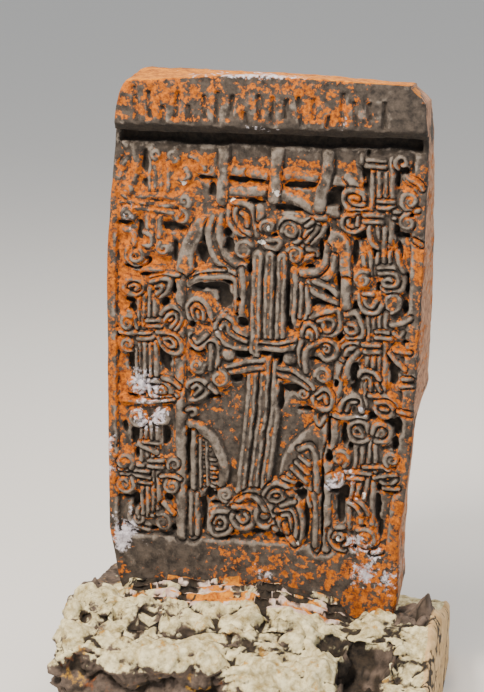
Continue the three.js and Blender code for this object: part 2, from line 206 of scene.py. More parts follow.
def corners(mesh):
    found = np.empty(len(mesh.vertices) * 3)
    mesh.vertices.foreach_get("co", found)
    return found.reshape(-1, 3)


def normals(mesh):
    found = np.empty(len(mesh.vertices) * 3)
    mesh.vertices.foreach_get("normal", found)
    return found.reshape(-1, 3)


def setCorners(mesh, places):
    mesh.vertices.foreach_set("co", np.asarray(places, float).ravel())
    mesh.update()


def keepFaces(piece, most):
    # thins the mesh to at most so many triangles, where it is flattest, and applies that
    count = sum(len(f.vertices) - 2 for f in piece.data.polygons)
    if count > most:
        thinner = piece.modifiers.new("thinner", "DECIMATE")
        thinner.ratio = most / count
        thinned = bpy.data.meshes.new_from_object(piece.evaluated_get(bpy.context.evaluated_depsgraph_get()))
        piece.modifiers.clear()
        thinned.name = piece.data.name
        piece.data = thinned


def writeAttribute(mesh, name, values):
    made = mesh.attributes.new(name, "FLOAT", "POINT")
    made.data.foreach_set("value", np.asarray(values, np.float32))


# The carved slab, in millimetres: x right of and d down from the cornice's upper left corner as drawn, u from the
# centre line, v over the cornice's lower edge, y back from the tops of the ridges.
slabLow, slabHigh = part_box("slab")
slab = {
    "columns": 340, "rowsShaft": 570, "rowsCornice": 60, "layers": 9, "triangles": 192000,
    "halfWidest": 447, "thickness": 200, "shaft": 1430, "cornice": 159,
    "proud": 28, "undercut": 20,  # how far the cornice stands out, and draws in at its lower edge
    "topFall": 27, "rearSpread": 33,  # the top's fall towards the back, and how far the right flank leaves the face
    "ground": 22, "pitDepth": 38, "body": 12,  # depths of the field, its pits and the stone that strands stand on
    "border": 7, "borderLeft": 26, "borderRight": 34, "band": 4, "bandTop": 1337,
    "coveHeight": 40, "coveDepth": 46,  # the hollow under the cornice
    "groove": 7, "moat": 3.6, "moatDepth": 15, "fuller": 1.14,  # fuller: cut width over drawn width
    "cell": 1.5, "waver": 4, "wear": 0.9, "arris": 9,
    "middle": 450, "edge": 200,  # where the drawing has the centre line and the cornice's lower edge
}
centreX = slabLow.x / mm + slab["halfWidest"]
faceY = slabLow.y / mm + slab["proud"]
edgeZ = slabHigh.z / mm - slab["cornice"]

# half widths down the two edges by height over the cornice's lower edge, the swelling of the back, the crest
leftLine = np.array([
    [156, 372], [148, 380], [134, 387], [120, 392], [79, 399], [-20, 411], [-354, 441], [-805, 445], [-1127, 447],
    [-1250, 424], [-1430, 390],
])
rightLine = np.array([
    [150, 368], [141, 382], [130, 396], [112, 407], [-20, 415], [-264, 410], [-470, 404], [-562, 399], [-842, 389],
    [-930, 381], [-1102, 360], [-1278, 361], [-1430, 335],
])
rearLine = np.array([[140, -0.15], [0, -0.15], [-264, 0.3], [-562, 0.6], [-700, 0.6], [-842, -0.35], [-1102, 0.1],
                     [-1430, 0]])
crestLine = np.array([[-400, 128], [-366, 137], [-101, 157], [0, 159], [363, 143], [400, 132]])


def along(line, place):
    # the value of a line given as pairs of place and value
    order = np.argsort(line[:, 0])
    return np.interp(place, line[order, 0], line[order, 1])


# the plate of depths that is carved before the stone takes it
cell = slab["cell"]
plateX, plateD = np.arange(-5, 906, cell), np.arange(24, 1641, cell)
across, down = np.meshgrid(plateX, plateD)
plate = np.full(across.shape, float(slab["ground"]))
# a hand-cut line wavers a little
across, down = (across + 1.8 * rough((across, down), 30, 331, 2), down + 1.8 * rough((across, down), 30, 341, 2))


def window(points, reach):
    # the part of the plate round some points
    x0, d0 = points.min(axis=0) - reach - slab["waver"]
    x1, d1 = points.max(axis=0) + reach + slab["waver"]
    cols = slice(max(int((x0 - plateX[0]) / cell), 0), max(int((x1 - plateX[0]) / cell) + 2, 1))
    rows = slice(max(int((d0 - plateD[0]) / cell), 0), max(int((d1 - plateD[0]) / cell) + 2, 1))
    return rows, cols


def distance(a, b, points, closed=False):
    away = np.full(a.shape, 1e9)
    ends = np.roll(points, -1, axis=0) if closed else points[1:]
    for (ax, ay), (bx, by) in zip(points, ends):
        dx, dy = bx - ax, by - ay
        share = np.clip(((a - ax) * dx + (b - ay) * dy) / max(dx * dx + dy * dy, 1e-9), 0, 1)
        away = np.minimum(away, np.hypot(a - ax - share * dx, b - ay - share * dy))
    return away


def smooth(points):
    # a flowing line through the points, of straight pieces
    pieces = 5
    points = [np.array(p, float) for p in points]
    if len(points) < 3:
        return np.array(points)
    ends = [2 * points[0] - points[1], *points, 2 * points[-1] - points[-2]]
    out = []
    for a, b, c, e in zip(ends, ends[1:], ends[2:], ends[3:]):
        for i in range(pieces):
            t = i / pieces
            bend, swing = 2 * a - 5 * b + 4 * c - e, 3 * b - a - 3 * c + e
            out.append(0.5 * (2 * b + (c - a) * t + bend * t * t + swing * t ** 3))
    return np.array([*out, points[-1]])


def carveStrand(width, deep, points, ridges=1, within=None):
    # a ribbon of rounded ridges along a line: it lies over what is there, with a narrow moat on both sides
    half = ridges * width / 2
    reach = half + slab["moat"]
    rows, cols = window(points, reach)
    a, b = across[rows, cols], down[rows, cols]
    away = distance(a, b, points)
    shift = width / 2 if ridges % 2 else 0
    fromRidge = np.abs((away + shift) % width - width / 2)
    shape = deep + slab["groove"] * (fromRidge / (width / 2)) ** 1.7
    part = plate[rows, cols]
    inside = np.ones(a.shape, bool)
    if within:
        inside = (a > within[0]) & (a < within[1]) & (b > within[2]) & (b < within[3])
    beside = (away >= half) & (away < reach) & inside
    part[beside] = np.maximum(part[beside], deep + slab["moatDepth"])
    ribbon = (away < half) & inside
    part[ribbon] = shape[ribbon]


def coil(x, d, radius, start, turns, sense):
    # the width and the centre line of a volute that curls in from its start angle
    wide = min(max(0.46 * radius, 9), 14)
    share = np.linspace(0, 1, int(turns * 16) + 1)
    angle = math.radians(start) + sense * turns * math.tau * share
    reach = radius - wide / 2 - min((wide + 1) * turns, radius - wide / 2 - 3) * share
    return wide, np.column_stack([x + reach * np.cos(angle), d + reach * np.sin(angle)])


def layBody(part):
    # the stone left standing round a part's strands, which its pits and grooves then cut
    lines = [(width, smooth(points)) for width, deep, points in part.get("strands", [])]
    for width, points in [*lines, *[coil(*row) for row in part.get("coils", [])]]:
        rows, cols = window(points, width / 2 + 14)
        away = distance(across[rows, cols], down[rows, cols], points) - width / 2
        stone = slab["body"] + (slab["ground"] - slab["body"]) * step(4, 12, away)
        plate[rows, cols] = np.minimum(plate[rows, cols], stone)


def carveLeaf(deep, dish, points):
    points = smooth([*points, points[0]])[:-1]
    rows, cols = window(points, slab["moat"])
    a, b = across[rows, cols], down[rows, cols]
    inside = np.zeros(a.shape, bool)
    for (ax, ay), (bx, by) in zip(points, np.roll(points, -1, axis=0)):
        inside ^= ((ay > b) != (by > b)) & (a < (bx - ax) * (b - ay) / ((by - ay) or 1e-9) + ax)
    away = distance(a, b, points, closed=True)
    part = plate[rows, cols]
    beside = ~inside & (away < slab["moat"])
    part[beside] = np.maximum(part[beside], deep + slab["moatDepth"])
    part[inside] = deep + dish * step(3, 14, away[inside]) + 4 * (1 - step(0, 5, away[inside]))


pitEdge = rough((across, down), 20, 301, 2)


def carvePit(x, d, wide, tall):
    away = np.hypot((across - x) / wide, (down - d) / tall) + 0.3 * pitEdge
    plate[:] = np.maximum(plate, slab["pitDepth"] * (1 - step(0.7, 1.15, away)))


def carve(part):
    for row in part.get("pits", []):
        carvePit(*row)
    for row in part.get("leaves", []):
        carveLeaf(*row)
    for width, deep, points in part.get("strands", []):
        carveStrand(width * slab["fuller"], deep, smooth(points))
    for row in part.get("coils", []):
        width, points = coil(*row)
        carveStrand(width, 0, points)
    for x, d, size in part.get("bosses", []):
        carveStrand(size * 2, 0, np.array([(x - 1, d), (x + 1, d)]))


# The carver's drawing, in millimetres right of and below the cornice's upper left corner. A strand is its width,
# how deep its ridge lies and its points; a coil its middle, radius, starting angle, turns and sense; a pit its
# middle and reach both ways; a leaf its depth, dish and outline; a boss its middle and size.
rail = {
    "strands": [
        (25, 5, [(264, 302), (300, 306), (345, 304), (392, 305)]),
        (25, 5, [(402, 308), (470, 309), (520, 305), (565, 312), (650, 321)]),
        (25, 6, [(345, 362), (395, 357), (440, 353)]), (27, 6, [(486, 362), (530, 378), (566, 396), (632, 402)]),
        (27, 3, [(330, 236), (328, 300), (325, 382)]), (28, 3, [(472, 240), (468, 300), (462, 372)]),
        (27, 2, [(604, 246), (603, 300), (591, 340), (583, 392)]), (20, 4, [(655, 308), (675, 330), (694, 368)]),
    ],
    "pits": [
        (388, 325, 52, 11), (525, 336, 48, 12), (628, 344, 26, 9), (405, 384, 36, 8), (510, 398, 44, 10),
        (395, 308, 6, 16), (285, 322, 22, 10), (300, 360, 14, 22), (625, 372, 26, 24),
    ],
}
leftHigh = {  # the worn cross at the upper left
    "strands": [
        (15, 5, [(133, 252), (132, 330), (126, 420), (124, 480)]),
        (15, 4, [(148, 290), (146, 380), (140, 470), (140, 505)]),
        (15, 4, [(166, 285), (163, 350), (158, 430), (152, 500)]), (15, 5, [(182, 290), (180, 360), (172, 420)]),
        (14, 4, [(52, 382), (110, 380), (160, 376), (205, 384)]),
        (14, 3, [(50, 398), (110, 396), (170, 402), (206, 398)]),
        (14, 4, [(60, 412), (110, 414), (165, 418), (200, 420)]), (16, 5, [(60, 470), (84, 478), (88, 510)]),
        (14, 5, [(112, 478), (132, 484), (130, 512), (104, 512)]), (15, 4, [(112, 577), (160, 575)]),
        (13, 3, [(130, 600), (160, 592), (206, 590)]), (16, 6, [(70, 520), (66, 548), (88, 566), (112, 556)]),
        (20, 6, [(66, 236), (80, 262), (62, 292)]), (20, 6, [(88, 240), (92, 300), (84, 340)]),
        (16, 7, [(226, 300), (236, 322), (214, 330)]), (16, 7, [(240, 268), (262, 276), (280, 300)]),
    ],
    "coils": [
        (150, 264, 20, 90, 1.0, 1), (192, 268, 24, 90, 1.2, -1), (70, 362, 28, 90, 1.3, 1),
        (70, 428, 24, -90, 1.2, -1), (224, 388, 24, 120, 1.1, -1), (214, 432, 26, -90, 1.0, 1),
        (90, 540, 28, -60, 1.2, 1), (166, 518, 24, -120, 1.2, -1),
    ],
    "pits": [
        (120, 292, 10, 34), (196, 458, 32, 18), (104, 470, 8, 34), (90, 418, 12, 7), (66, 452, 24, 6),
        (82, 572, 32, 6), (120, 552, 10, 14), (118, 594, 16, 7), (196, 530, 8, 30), (120, 345, 9, 14),
    ],
}
leftMiddle = {
    "strands": [
        (13, 2, [(97, 652), (98, 720), (99, 800), (97, 880)]),
        (13, 3, [(112, 648), (112, 700), (112, 800), (112, 895)]),
        (13, 1, [(128, 630), (128, 700), (130, 800), (128, 890)]),
        (13, 1, [(142, 645), (141, 720), (144, 800), (142, 870)]), (12, 2, [(120, 720), (150, 718), (170, 722)]),
        (12, 2, [(122, 735), (150, 733), (165, 738)]), (12, 2, [(44, 756), (90, 756), (132, 758)]),
        (12, 3, [(92, 770), (130, 769), (150, 756)]),
        (12, 1, [(58, 622), (70, 606), (95, 606), (112, 622), (104, 640), (78, 648), (58, 636), (56, 622)]),
        (11, 3, [(72, 628), (85, 620), (98, 628), (88, 636)]),
        (13, 1, [(132, 612), (160, 602), (182, 604), (180, 624), (166, 642), (150, 650)]),
        (11, 2, [(146, 624), (162, 618), (160, 632), (146, 644)]),
        (12, 1, [(158, 700), (170, 684), (192, 676), (212, 700), (206, 728), (184, 748), (168, 744)]),
        (11, 2, [(168, 716), (178, 700), (196, 696), (198, 716), (184, 734)]), (9, 4, [(180, 716), (188, 710)]),
        (12, 1, [(148, 752), (180, 750), (204, 764), (214, 790), (206, 806), (184, 806), (162, 790), (152, 768)]),
        (11, 2, [(166, 768), (184, 766), (196, 784), (182, 790), (168, 778)]),
        (12, 2, [(118, 900), (130, 890), (160, 890), (182, 906), (184, 926), (200, 928)]),
        (12, 3, [(122, 906), (126, 930), (150, 936), (186, 932)]),
        (11, 4, [(138, 910), (158, 906), (166, 918), (142, 920)]),
        (12, 3, [(50, 950), (100, 950), (150, 946), (190, 940)]), (14, 6, [(160, 880), (185, 888), (205, 905)]),
        (10, 3, [(86, 800), (88, 850), (90, 890)]), (13, 6, [(66, 700), (84, 716), (90, 742)]),
    ],
    "coils": [(64, 728, 27, -60, 1.3, -1), (64, 788, 27, 60, 1.3, 1), (86, 912, 28, 0, 1.4, -1)],
    "pits": [
        (70, 665, 20, 14), (78, 690, 12, 16), (168, 672, 14, 20), (168, 832, 17, 38), (72, 845, 15, 32),
        (192, 624, 10, 20), (40, 762, 8, 10), (122, 778, 16, 5), (120, 862, 9, 12), (140, 866, 7, 12),
        (158, 804, 6, 14), (130, 950, 60, 5), (76, 936, 16, 4),
    ],
}
leftLow = {
    "strands": [
        (13, 2, [(100, 1012), (100, 1060), (98, 1120), (100, 1200), (100, 1275)]),
        (13, 2, [(114, 1010), (114, 1060), (114, 1130), (114, 1205), (116, 1280)]),
        (13, 1, [(128, 1010), (130, 1060), (130, 1130), (131, 1205), (130, 1275)]),
        (13, 2, [(143, 1012), (144, 1060), (144, 1130), (146, 1205), (144, 1270)]),
        (12, 2, [(60, 1132), (90, 1134), (118, 1136)]), (12, 2, [(118, 1120), (158, 1118)]),
        (12, 2, [(118, 1138), (158, 1136)]), (12, 3, [(36, 1150), (90, 1153), (118, 1152)]),
        (12, 3, [(40, 1165), (90, 1166), (120, 1170)]), (12, 3, [(85, 1182), (122, 1186)]),
        (12, 2, [(152, 1163), (190, 1162), (206, 1170)]), (11, 3, [(156, 1176), (176, 1174)]),
        (15, 0, [(92, 1072), (112, 1082), (140, 1094)]), (10, 1, [(104, 1066), (148, 1070)]),
        (14, 2, [(66, 1262), (62, 1290), (78, 1312), (112, 1322)]),
        (12, 3, [(88, 1262), (84, 1285), (96, 1302), (116, 1308)]),
        (12, 3, [(126, 1280), (160, 1276), (178, 1284)]), (16, 8, [(156, 1242), (172, 1262), (184, 1272)]),
    ],
    "coils": [
        (88, 996, 31, 30, 1.5, 1), (156, 990, 30, 150, 1.5, -1), (50, 1128, 32, 40, 1.5, -1),
        (50, 1192, 34, -40, 1.6, 1), (190, 1126, 25, 140, 1.3, 1), (184, 1188, 28, -140, 1.5, -1),
        (156, 1298, 33, -120, 1.6, 1), (92, 1292, 20, 200, 0.6, -1),
    ],
    "pits": [
        (78, 1052, 16, 34), (168, 1048, 12, 36), (118, 1152, 30, 5), (60, 1230, 32, 6), (82, 1240, 12, 26),
        (172, 1228, 14, 18), (52, 1030, 10, 24), (126, 1086, 10, 5), (60, 1312, 8, 10), (130, 1320, 16, 6),
        (86, 1100, 8, 20), (186, 1316, 8, 10), (122, 1158, 30, 5),
    ],
}
rightHigh = {
    "strands": [
        (13, 2, [(722, 286), (722, 340), (720, 400)]), (13, 1, [(738, 282), (740, 340), (738, 402)]),
        (13, 1, [(757, 262), (757, 330), (757, 400)]),
        (13, 0, [(772, 258), (773, 330), (774, 410), (770, 470), (768, 540)]),
        (13, 2, [(712, 436), (714, 462), (728, 486), (748, 500)]),
        (13, 2, [(736, 430), (738, 456), (750, 476), (764, 490)]), (13, 2, [(718, 505), (722, 560)]),
        (13, 2, [(738, 510), (736, 560)]), (13, 1, [(754, 440), (755, 500), (756, 545)]),
        (13, 4, [(700, 520), (706, 556)]), (13, 3, [(694, 262), (730, 262), (750, 264)]),
        (13, 3, [(702, 276), (730, 276), (752, 278)]), (12, 4, [(692, 250), (690, 268)]),
        (13, 1, [(704, 392), (668, 392), (652, 382), (646, 362), (652, 346), (676, 342), (696, 350), (700, 366)]),
        (12, 2, [(700, 378), (672, 376), (662, 366), (672, 358), (686, 362)]),
        (13, 1, [(700, 404), (664, 406), (646, 416), (646, 438), (662, 452), (686, 450), (700, 434), (702, 420)]),
        (12, 2, [(660, 420), (662, 436), (680, 436)]), (10, 2, [(686, 412), (684, 434)]),
        (12, 1, [(702, 406), (748, 405)]), (12, 1, [(702, 424), (748, 424)]), (12, 1, [(738, 370), (776, 368)]),
        (12, 1, [(738, 385), (776, 384)]), (13, 2, [(778, 396), (810, 394), (842, 390)]),
        (12, 3, [(778, 412), (805, 413)]),
        (13, 1, [(742, 546), (786, 544), (806, 560), (808, 585), (796, 606), (766, 612), (750, 600)]),
        (12, 2, [(744, 560), (780, 559), (793, 572), (788, 592), (762, 596), (752, 582), (768, 574), (778, 578)]),
        (14, 4, [(816, 306), (840, 318), (852, 334)]), (14, 5, [(790, 505), (794, 530), (806, 552)]),
        (14, 6, [(834, 470), (852, 482)]),
    ],
    "coils": [
        (798, 264, 26, 120, 0.9, 1), (820, 364, 33, 90, 1.6, 1), (816, 422, 30, -90, 1.4, -1),
        (699, 578, 30, -60, 1.5, -1),
    ],
    "pits": [
        (690, 462, 24, 14), (680, 500, 10, 34), (796, 285, 22, 12), (742, 600, 7, 14), (800, 460, 22, 8),
        (708, 300, 8, 60), (786, 310, 8, 26), (815, 404, 18, 5), (730, 500, 6, 24), (815, 580, 7, 30),
        (784, 445, 8, 14), (640, 380, 6, 26), (700, 296, 7, 40), (796, 500, 8, 36),
    ],
}
rightMiddle = {
    "strands": [
        (13, 2, [(718, 680), (718, 760), (716, 850), (712, 930)]), (13, 2, [(733, 676), (733, 760), (732, 820)]),
        (13, 1, [(748, 672), (750, 760), (749, 860), (744, 890)]),
        (13, 2, [(763, 670), (764, 760), (762, 850), (760, 880)]),
        (13, 1, [(692, 622), (694, 648), (710, 668), (738, 668), (750, 650)]),
        (12, 2, [(704, 624), (710, 646), (726, 654), (736, 636)]), (12, 3, [(702, 618), (728, 618)]),
        (13, 1, [(652, 678), (682, 674), (700, 702), (704, 730), (690, 742), (662, 740)]),
        (12, 2, [(664, 702), (682, 706), (688, 724), (668, 728), (658, 716)]),
        (13, 1, [(700, 756), (666, 758), (646, 772), (642, 796), (660, 808), (686, 800), (700, 782)]),
        (12, 2, [(656, 790), (664, 772), (684, 770), (682, 784), (668, 792)]), (12, 1, [(704, 758), (746, 758)]),
        (12, 1, [(704, 776), (746, 776)]), (12, 2, [(738, 722), (778, 722)]), (12, 2, [(738, 738), (778, 738)]),
        (13, 3, [(780, 700), (806, 694), (828, 680)]), (12, 4, [(784, 722), (800, 732), (810, 722)]),
        (13, 3, [(776, 778), (792, 802), (816, 822)]), (12, 4, [(790, 772), (828, 776)]),
        (13, 1, [(696, 846), (700, 832), (716, 828), (738, 838), (750, 852)]),
        (11, 3, [(706, 852), (716, 846), (726, 858), (728, 890)]),
        (13, 1, [(640, 950), (654, 920), (680, 904), (698, 914), (704, 946)]),
        (14, 2, [(632, 958), (664, 964), (716, 960)]), (12, 6, [(664, 944), (672, 922), (690, 920)]),
        (13, 1, [(724, 900), (762, 898), (786, 908), (798, 932), (800, 948)]),
        (13, 1, [(742, 916), (772, 914), (790, 936), (778, 956), (752, 950), (740, 932)]),
        (11, 3, [(756, 934), (772, 936)]), (12, 5, [(744, 866), (752, 884)]), (12, 5, [(812, 850), (836, 846)]),
        (12, 5, [(806, 870), (838, 866)]), (13, 5, [(800, 940), (836, 946)]),
        (16, 1, [(690, 780), (668, 810), (655, 850)]),
    ],
    "leaves": [(1, 6, [(760, 620), (792, 614), (806, 636), (796, 662), (772, 672), (758, 650)])],
    "pits": [
        (684, 660, 10, 26), (702, 690, 7, 16), (728, 958, 20, 14), (680, 835, 14, 50), (660, 800, 5, 5),
        (790, 830, 16, 40), (780, 650, 5, 5), (812, 650, 10, 18), (732, 812, 5, 22), (640, 736, 10, 12),
        (776, 790, 8, 16), (640, 966, 50, 4), (688, 866, 10, 40), (816, 745, 14, 5), (776, 976, 14, 26),
        (800, 980, 12, 30),
    ],
}
rightLow = {
    "strands": [
        (13, 2, [(692, 1034), (690, 1090), (684, 1150), (676, 1210), (674, 1278)]),
        (13, 2, [(708, 1030), (706, 1090), (700, 1150), (692, 1200)]),
        (13, 1, [(728, 1026), (726, 1090), (722, 1150), (712, 1200), (706, 1262)]),
        (13, 2, [(743, 1030), (742, 1090), (738, 1160), (736, 1262)]),
        (13, 1, [(722, 1000), (716, 980), (696, 972), (676, 982), (670, 1004), (678, 1024), (700, 1030),
            (718, 1024)]),
        (12, 2, [(706, 1006), (696, 990), (684, 998), (688, 1012), (706, 1014)]),
        (13, 1, [(734, 1004), (738, 984), (758, 976), (776, 988), (780, 1008), (766, 1026), (744, 1026)]),
        (12, 2, [(748, 1010), (756, 994), (766, 1002), (758, 1012)]),
        (12, 1, [(660, 1120), (706, 1118), (730, 1120)]), (12, 1, [(662, 1136), (708, 1134)]),
        (12, 2, [(712, 1100), (760, 1098), (780, 1108)]), (12, 3, [(740, 1130), (776, 1122), (800, 1122)]),
        (13, 0, [(672, 1204), (690, 1216), (706, 1238)]), (13, 0, [(694, 1196), (712, 1212), (726, 1236)]),
        (12, 4, [(760, 1140), (780, 1150), (800, 1134)]), (12, 4, [(766, 1160), (806, 1160)]),
        (13, 3, [(620, 1290), (636, 1282), (660, 1278)]),
        (13, 2, [(626, 1290), (622, 1318), (640, 1342), (664, 1346)]),
        (12, 4, [(664, 1304), (676, 1320), (662, 1332)]), (14, 2, [(740, 1348), (762, 1342)]),
    ],
    "coils": [
        (645, 1078, 33, 60, 1.6, -1), (630, 1142, 33, -50, 1.6, 1), (786, 1076, 28, 120, 1.4, 1),
        (718, 1308, 37, -130, 1.8, 1), (648, 1310, 22, 180, 1.0, 1),
    ],
    "pits": [
        (650, 1225, 11, 44), (752, 1220, 9, 44), (660, 1012, 12, 30), (782, 1170, 24, 6), (754, 1160, 8, 14),
        (640, 1178, 26, 6), (795, 1030, 10, 22), (716, 1276, 5, 8), (690, 1180, 6, 10), (652, 1322, 14, 5),
        (760, 1286, 8, 30), (690, 1334, 6, 12), (664, 1180, 12, 18), (676, 1046, 7, 14),
    ],
}
head = {
    "strands": [
        (15, 1, [(346, 394), (344, 430), (356, 456), (378, 474), (398, 488)]),
        (14, 1, [(363, 400), (362, 428), (376, 452), (400, 470)]), (13, 3, [(378, 414), (390, 424), (392, 446)]),
        (14, 1, [(350, 386), (386, 388), (406, 404), (414, 436), (418, 472)]), (22, 5, [(427, 402), (426, 428)]),
        (14, 1, [(478, 452), (484, 432), (504, 424), (540, 428), (598, 418)]),
        (14, 2, [(528, 446), (536, 470), (520, 488), (500, 498)]),
        (13, 1, [(446, 484), (474, 482), (482, 492), (464, 508), (444, 502)]),
        (14, 1, [(540, 498), (560, 486), (586, 466), (598, 440)]), (12, 3, [(545, 470), (556, 450), (582, 436)]),
        (12, 3, [(550, 484), (572, 458), (578, 446)]), (12, 3, [(550, 440), (566, 430)]),
        (16, 3, [(556, 504), (576, 518)]), (13, 3, [(534, 540), (548, 528), (566, 520)]),
    ],
    "coils": [
        (448, 448, 27, 160, 1.4, 1), (506, 455, 28, 170, 1.7, 1), (384, 512, 31, -30, 1.8, -1),
        (520, 520, 30, 200, 1.6, 1),
    ],
    "pits": [
        (470, 520, 22, 8), (345, 505, 16, 20), (340, 468, 10, 14), (466, 474, 10, 6), (590, 500, 7, 34),
        (604, 455, 5, 20), (575, 524, 10, 8), (400, 560, 8, 24), (560, 552, 14, 5),
    ],
}
stem = {"spine": [(454, 528), (448, 750), (436, 950), (408, 1192)], "apart": 33, "ridge": 15}
arms = {
    "strands": [
        (14, 1, [(424, 764), (470, 766), (512, 756), (532, 748)]), (16, 0, [(424, 781), (480, 782), (536, 768)]),
        (14, 1, [(306, 740), (308, 712), (328, 694), (348, 706), (358, 730), (388, 752)]),
        (13, 2, [(320, 728), (330, 714), (340, 724), (346, 744), (390, 766)]),
        (14, 1, [(310, 744), (322, 766), (352, 782), (394, 786)]), (14, 0, [(340, 838), (388, 822), (440, 814)]),
        (14, 0, [(344, 852), (398, 842), (440, 834)]),
        (14, 0, [(478, 832), (512, 838), (546, 858), (572, 888), (574, 918)]),
        (14, 1, [(478, 852), (520, 864), (552, 884), (560, 902)]),
        (14, 1, [(236, 706), (230, 676), (242, 656), (266, 654), (288, 676), (296, 704)]),
        (13, 2, [(250, 704), (244, 680), (256, 670), (272, 688), (272, 708)]), (11, 3, [(259, 690), (260, 704)]),
        (14, 1, [(238, 752), (242, 776), (258, 790), (280, 780), (300, 764), (314, 778), (316, 806), (310, 842)]),
        (13, 3, [(248, 762), (258, 774), (272, 762), (284, 748)]), (14, 2, [(294, 780), (294, 812), (290, 846)]),
        (13, 1, [(230, 900), (234, 886), (262, 878), (282, 890), (284, 912), (266, 930), (236, 938)]),
        (12, 2, [(244, 902), (256, 892), (266, 904), (250, 922)]), (14, 3, [(290, 896), (306, 912)]),
        (14, 1, [(522, 566), (522, 640), (520, 700), (534, 714), (552, 698), (558, 664), (548, 610)]),
        (12, 3, [(536, 600), (537, 660), (534, 690)]),
        (14, 1, [(566, 692), (600, 674), (634, 668), (642, 700), (634, 730), (602, 742)]),
        (13, 2, [(584, 700), (606, 690), (626, 700), (618, 722), (598, 722), (596, 708)]),
        (12, 4, [(570, 716), (586, 726)]), (13, 1, [(540, 752), (542, 722), (558, 706), (576, 718), (578, 748)]),
        (12, 2, [(554, 742), (558, 726), (566, 732), (566, 756)]),
        (14, 1, [(538, 756), (534, 792), (540, 822), (556, 846)]),
        (14, 1, [(552, 840), (549, 806), (556, 776), (586, 756), (614, 752), (636, 770), (630, 796), (606, 806),
            (590, 792)]),
        (13, 1, [(580, 902), (602, 886), (622, 902), (622, 932), (604, 946), (580, 934), (570, 914)]),
        (12, 3, [(586, 914), (604, 904), (608, 926)]),
    ],
    "coils": [
        (257, 838, 27, 0, 1.6, 1), (316, 870, 31, -80, 1.7, 1), (606, 776, 18, -120, 1.0, 1),
        (598, 850, 29, 180, 1.8, 1), (544, 900, 19, 0, 1.1, 1),
    ],
    "bosses": [(340, 804, 18), (508, 806, 18)],
    "pits": [
        (260, 796, 30, 7), (380, 800, 24, 14), (442, 796, 16, 7), (380, 715, 12, 20), (365, 690, 5, 5),
        (360, 870, 20, 14), (290, 925, 26, 8), (240, 725, 10, 12), (590, 806, 30, 8), (520, 890, 36, 18),
        (640, 736, 7, 16), (475, 804, 14, 24), (500, 660, 6, 70), (510, 710, 10, 24), (550, 948, 30, 7),
        (634, 872, 7, 12), (484, 920, 8, 40), (370, 650, 5, 5), (336, 690, 6, 6),
    ],
}
arch = {
    "leaves": [
        (4, 0, [(296, 424), (262, 428), (238, 460), (214, 506), (200, 566), (198, 620), (226, 620), (232, 596),
            (248, 574), (248, 530), (270, 488), (298, 450)]),
        (3, 0, [(612, 452), (642, 454), (662, 480), (669, 540), (668, 600), (646, 600), (640, 560), (634, 526),
            (604, 524), (606, 486)]),
    ],
    "strands": [
        (19, 2, [(302, 428), (288, 468), (294, 514), (314, 548), (346, 570), (372, 578)]),
        (20, 1, [(326, 424), (318, 470), (330, 514), (352, 546), (388, 560)]),
        (14, 3, [(240, 596), (280, 576), (330, 572)]),
        (16, 1, [(232, 612), (268, 594), (318, 588), (352, 592), (362, 610), (364, 655), (374, 700)]),
        (18, 1, [(378, 566), (380, 640), (377, 700)]), (20, 1, [(604, 500), (598, 545), (572, 566), (530, 568)]),
        (18, 1, [(626, 520), (620, 560), (590, 588), (560, 594)]), (15, 1, [(572, 590), (612, 606), (642, 634)]),
        (15, 1, [(546, 604), (590, 630), (640, 648)]),
        (26, 4, [(655, 590), (655, 655), (650, 740), (644, 810), (640, 862), (630, 960), (622, 1050), (611, 1160),
            (611, 1346)]),
        (26, 4, [(210, 600), (210, 700), (209, 900), (208, 1100), (208, 1336)]),
    ],
    "pits": [
        (272, 530, 20, 28), (278, 490, 7, 16), (292, 618, 50, 13), (330, 650, 26, 32), (616, 620, 16, 16),
        (642, 590, 10, 30), (590, 648, 38, 13), (345, 600, 20, 10), (222, 500, 5, 5),
    ],
}
leaves = {
    "leaves": [
        (13, 0, [(238, 1004), (262, 1020), (292, 1042), (312, 1074), (324, 1110), (328, 1146), (316, 1176),
            (272, 1200), (262, 1230), (262, 1330), (222, 1334), (232, 1200), (234, 1080)]),
        (10, 0, [(613, 950), (590, 974), (545, 1014), (505, 1060), (486, 1100), (480, 1150), (502, 1152),
            (532, 1168), (560, 1194), (572, 1232), (574, 1342), (597, 1342), (597, 1110), (612, 1010)]),
    ],
    "strands": [
        (24, 2, [(236, 1008), (266, 1020), (294, 1044), (314, 1078), (326, 1112), (330, 1146), (316, 1174),
            (286, 1192), (262, 1206)]),
        (16, 7, [(243, 1030), (243, 1100), (243, 1200)]), (16, 8, [(236, 1210), (236, 1326)]),
        (14, 7, [(252, 1210), (252, 1326)]),
        *[(8, 7, [(258, 1054 + 26 * i), (306 - max(0, 34 - 16 * i), 1056 + 26 * i)]) for i in range(6)],
        (7, 7, [(279, 1056), (281, 1184)]), (7, 7, [(262, 1050), (262, 1190)]),
        *[(12, 3, [(506 + 11 * i, 1136 - 18 * i), (552 + 4 * i, 1182 - 26 * i)]) for i in range(4)],
        (16, 5, [(536, 1060), (566, 1050), (580, 1090), (584, 1180)]),
        (14, 4, [(574, 1190), (581, 1240), (582, 1340)]),
        (11, 3, [(492, 1148), (530, 1162), (556, 1186), (566, 1226)]),
        (12, 6, [(226, 968), (244, 962), (250, 976), (238, 984)]), (12, 6, [(578, 968), (590, 990), (606, 966)]),
    ],
    "pits": [
        (228, 1080, 6, 80), (272, 1262, 7, 62), (298, 1208, 20, 12), (600, 1160, 5, 60), (540, 1190, 22, 14),
        (556, 1270, 9, 60), (228, 1250, 4, 60), (600, 1260, 4, 80), (617, 1000, 4, 50), (618, 1078, 8, 24),
    ],
}
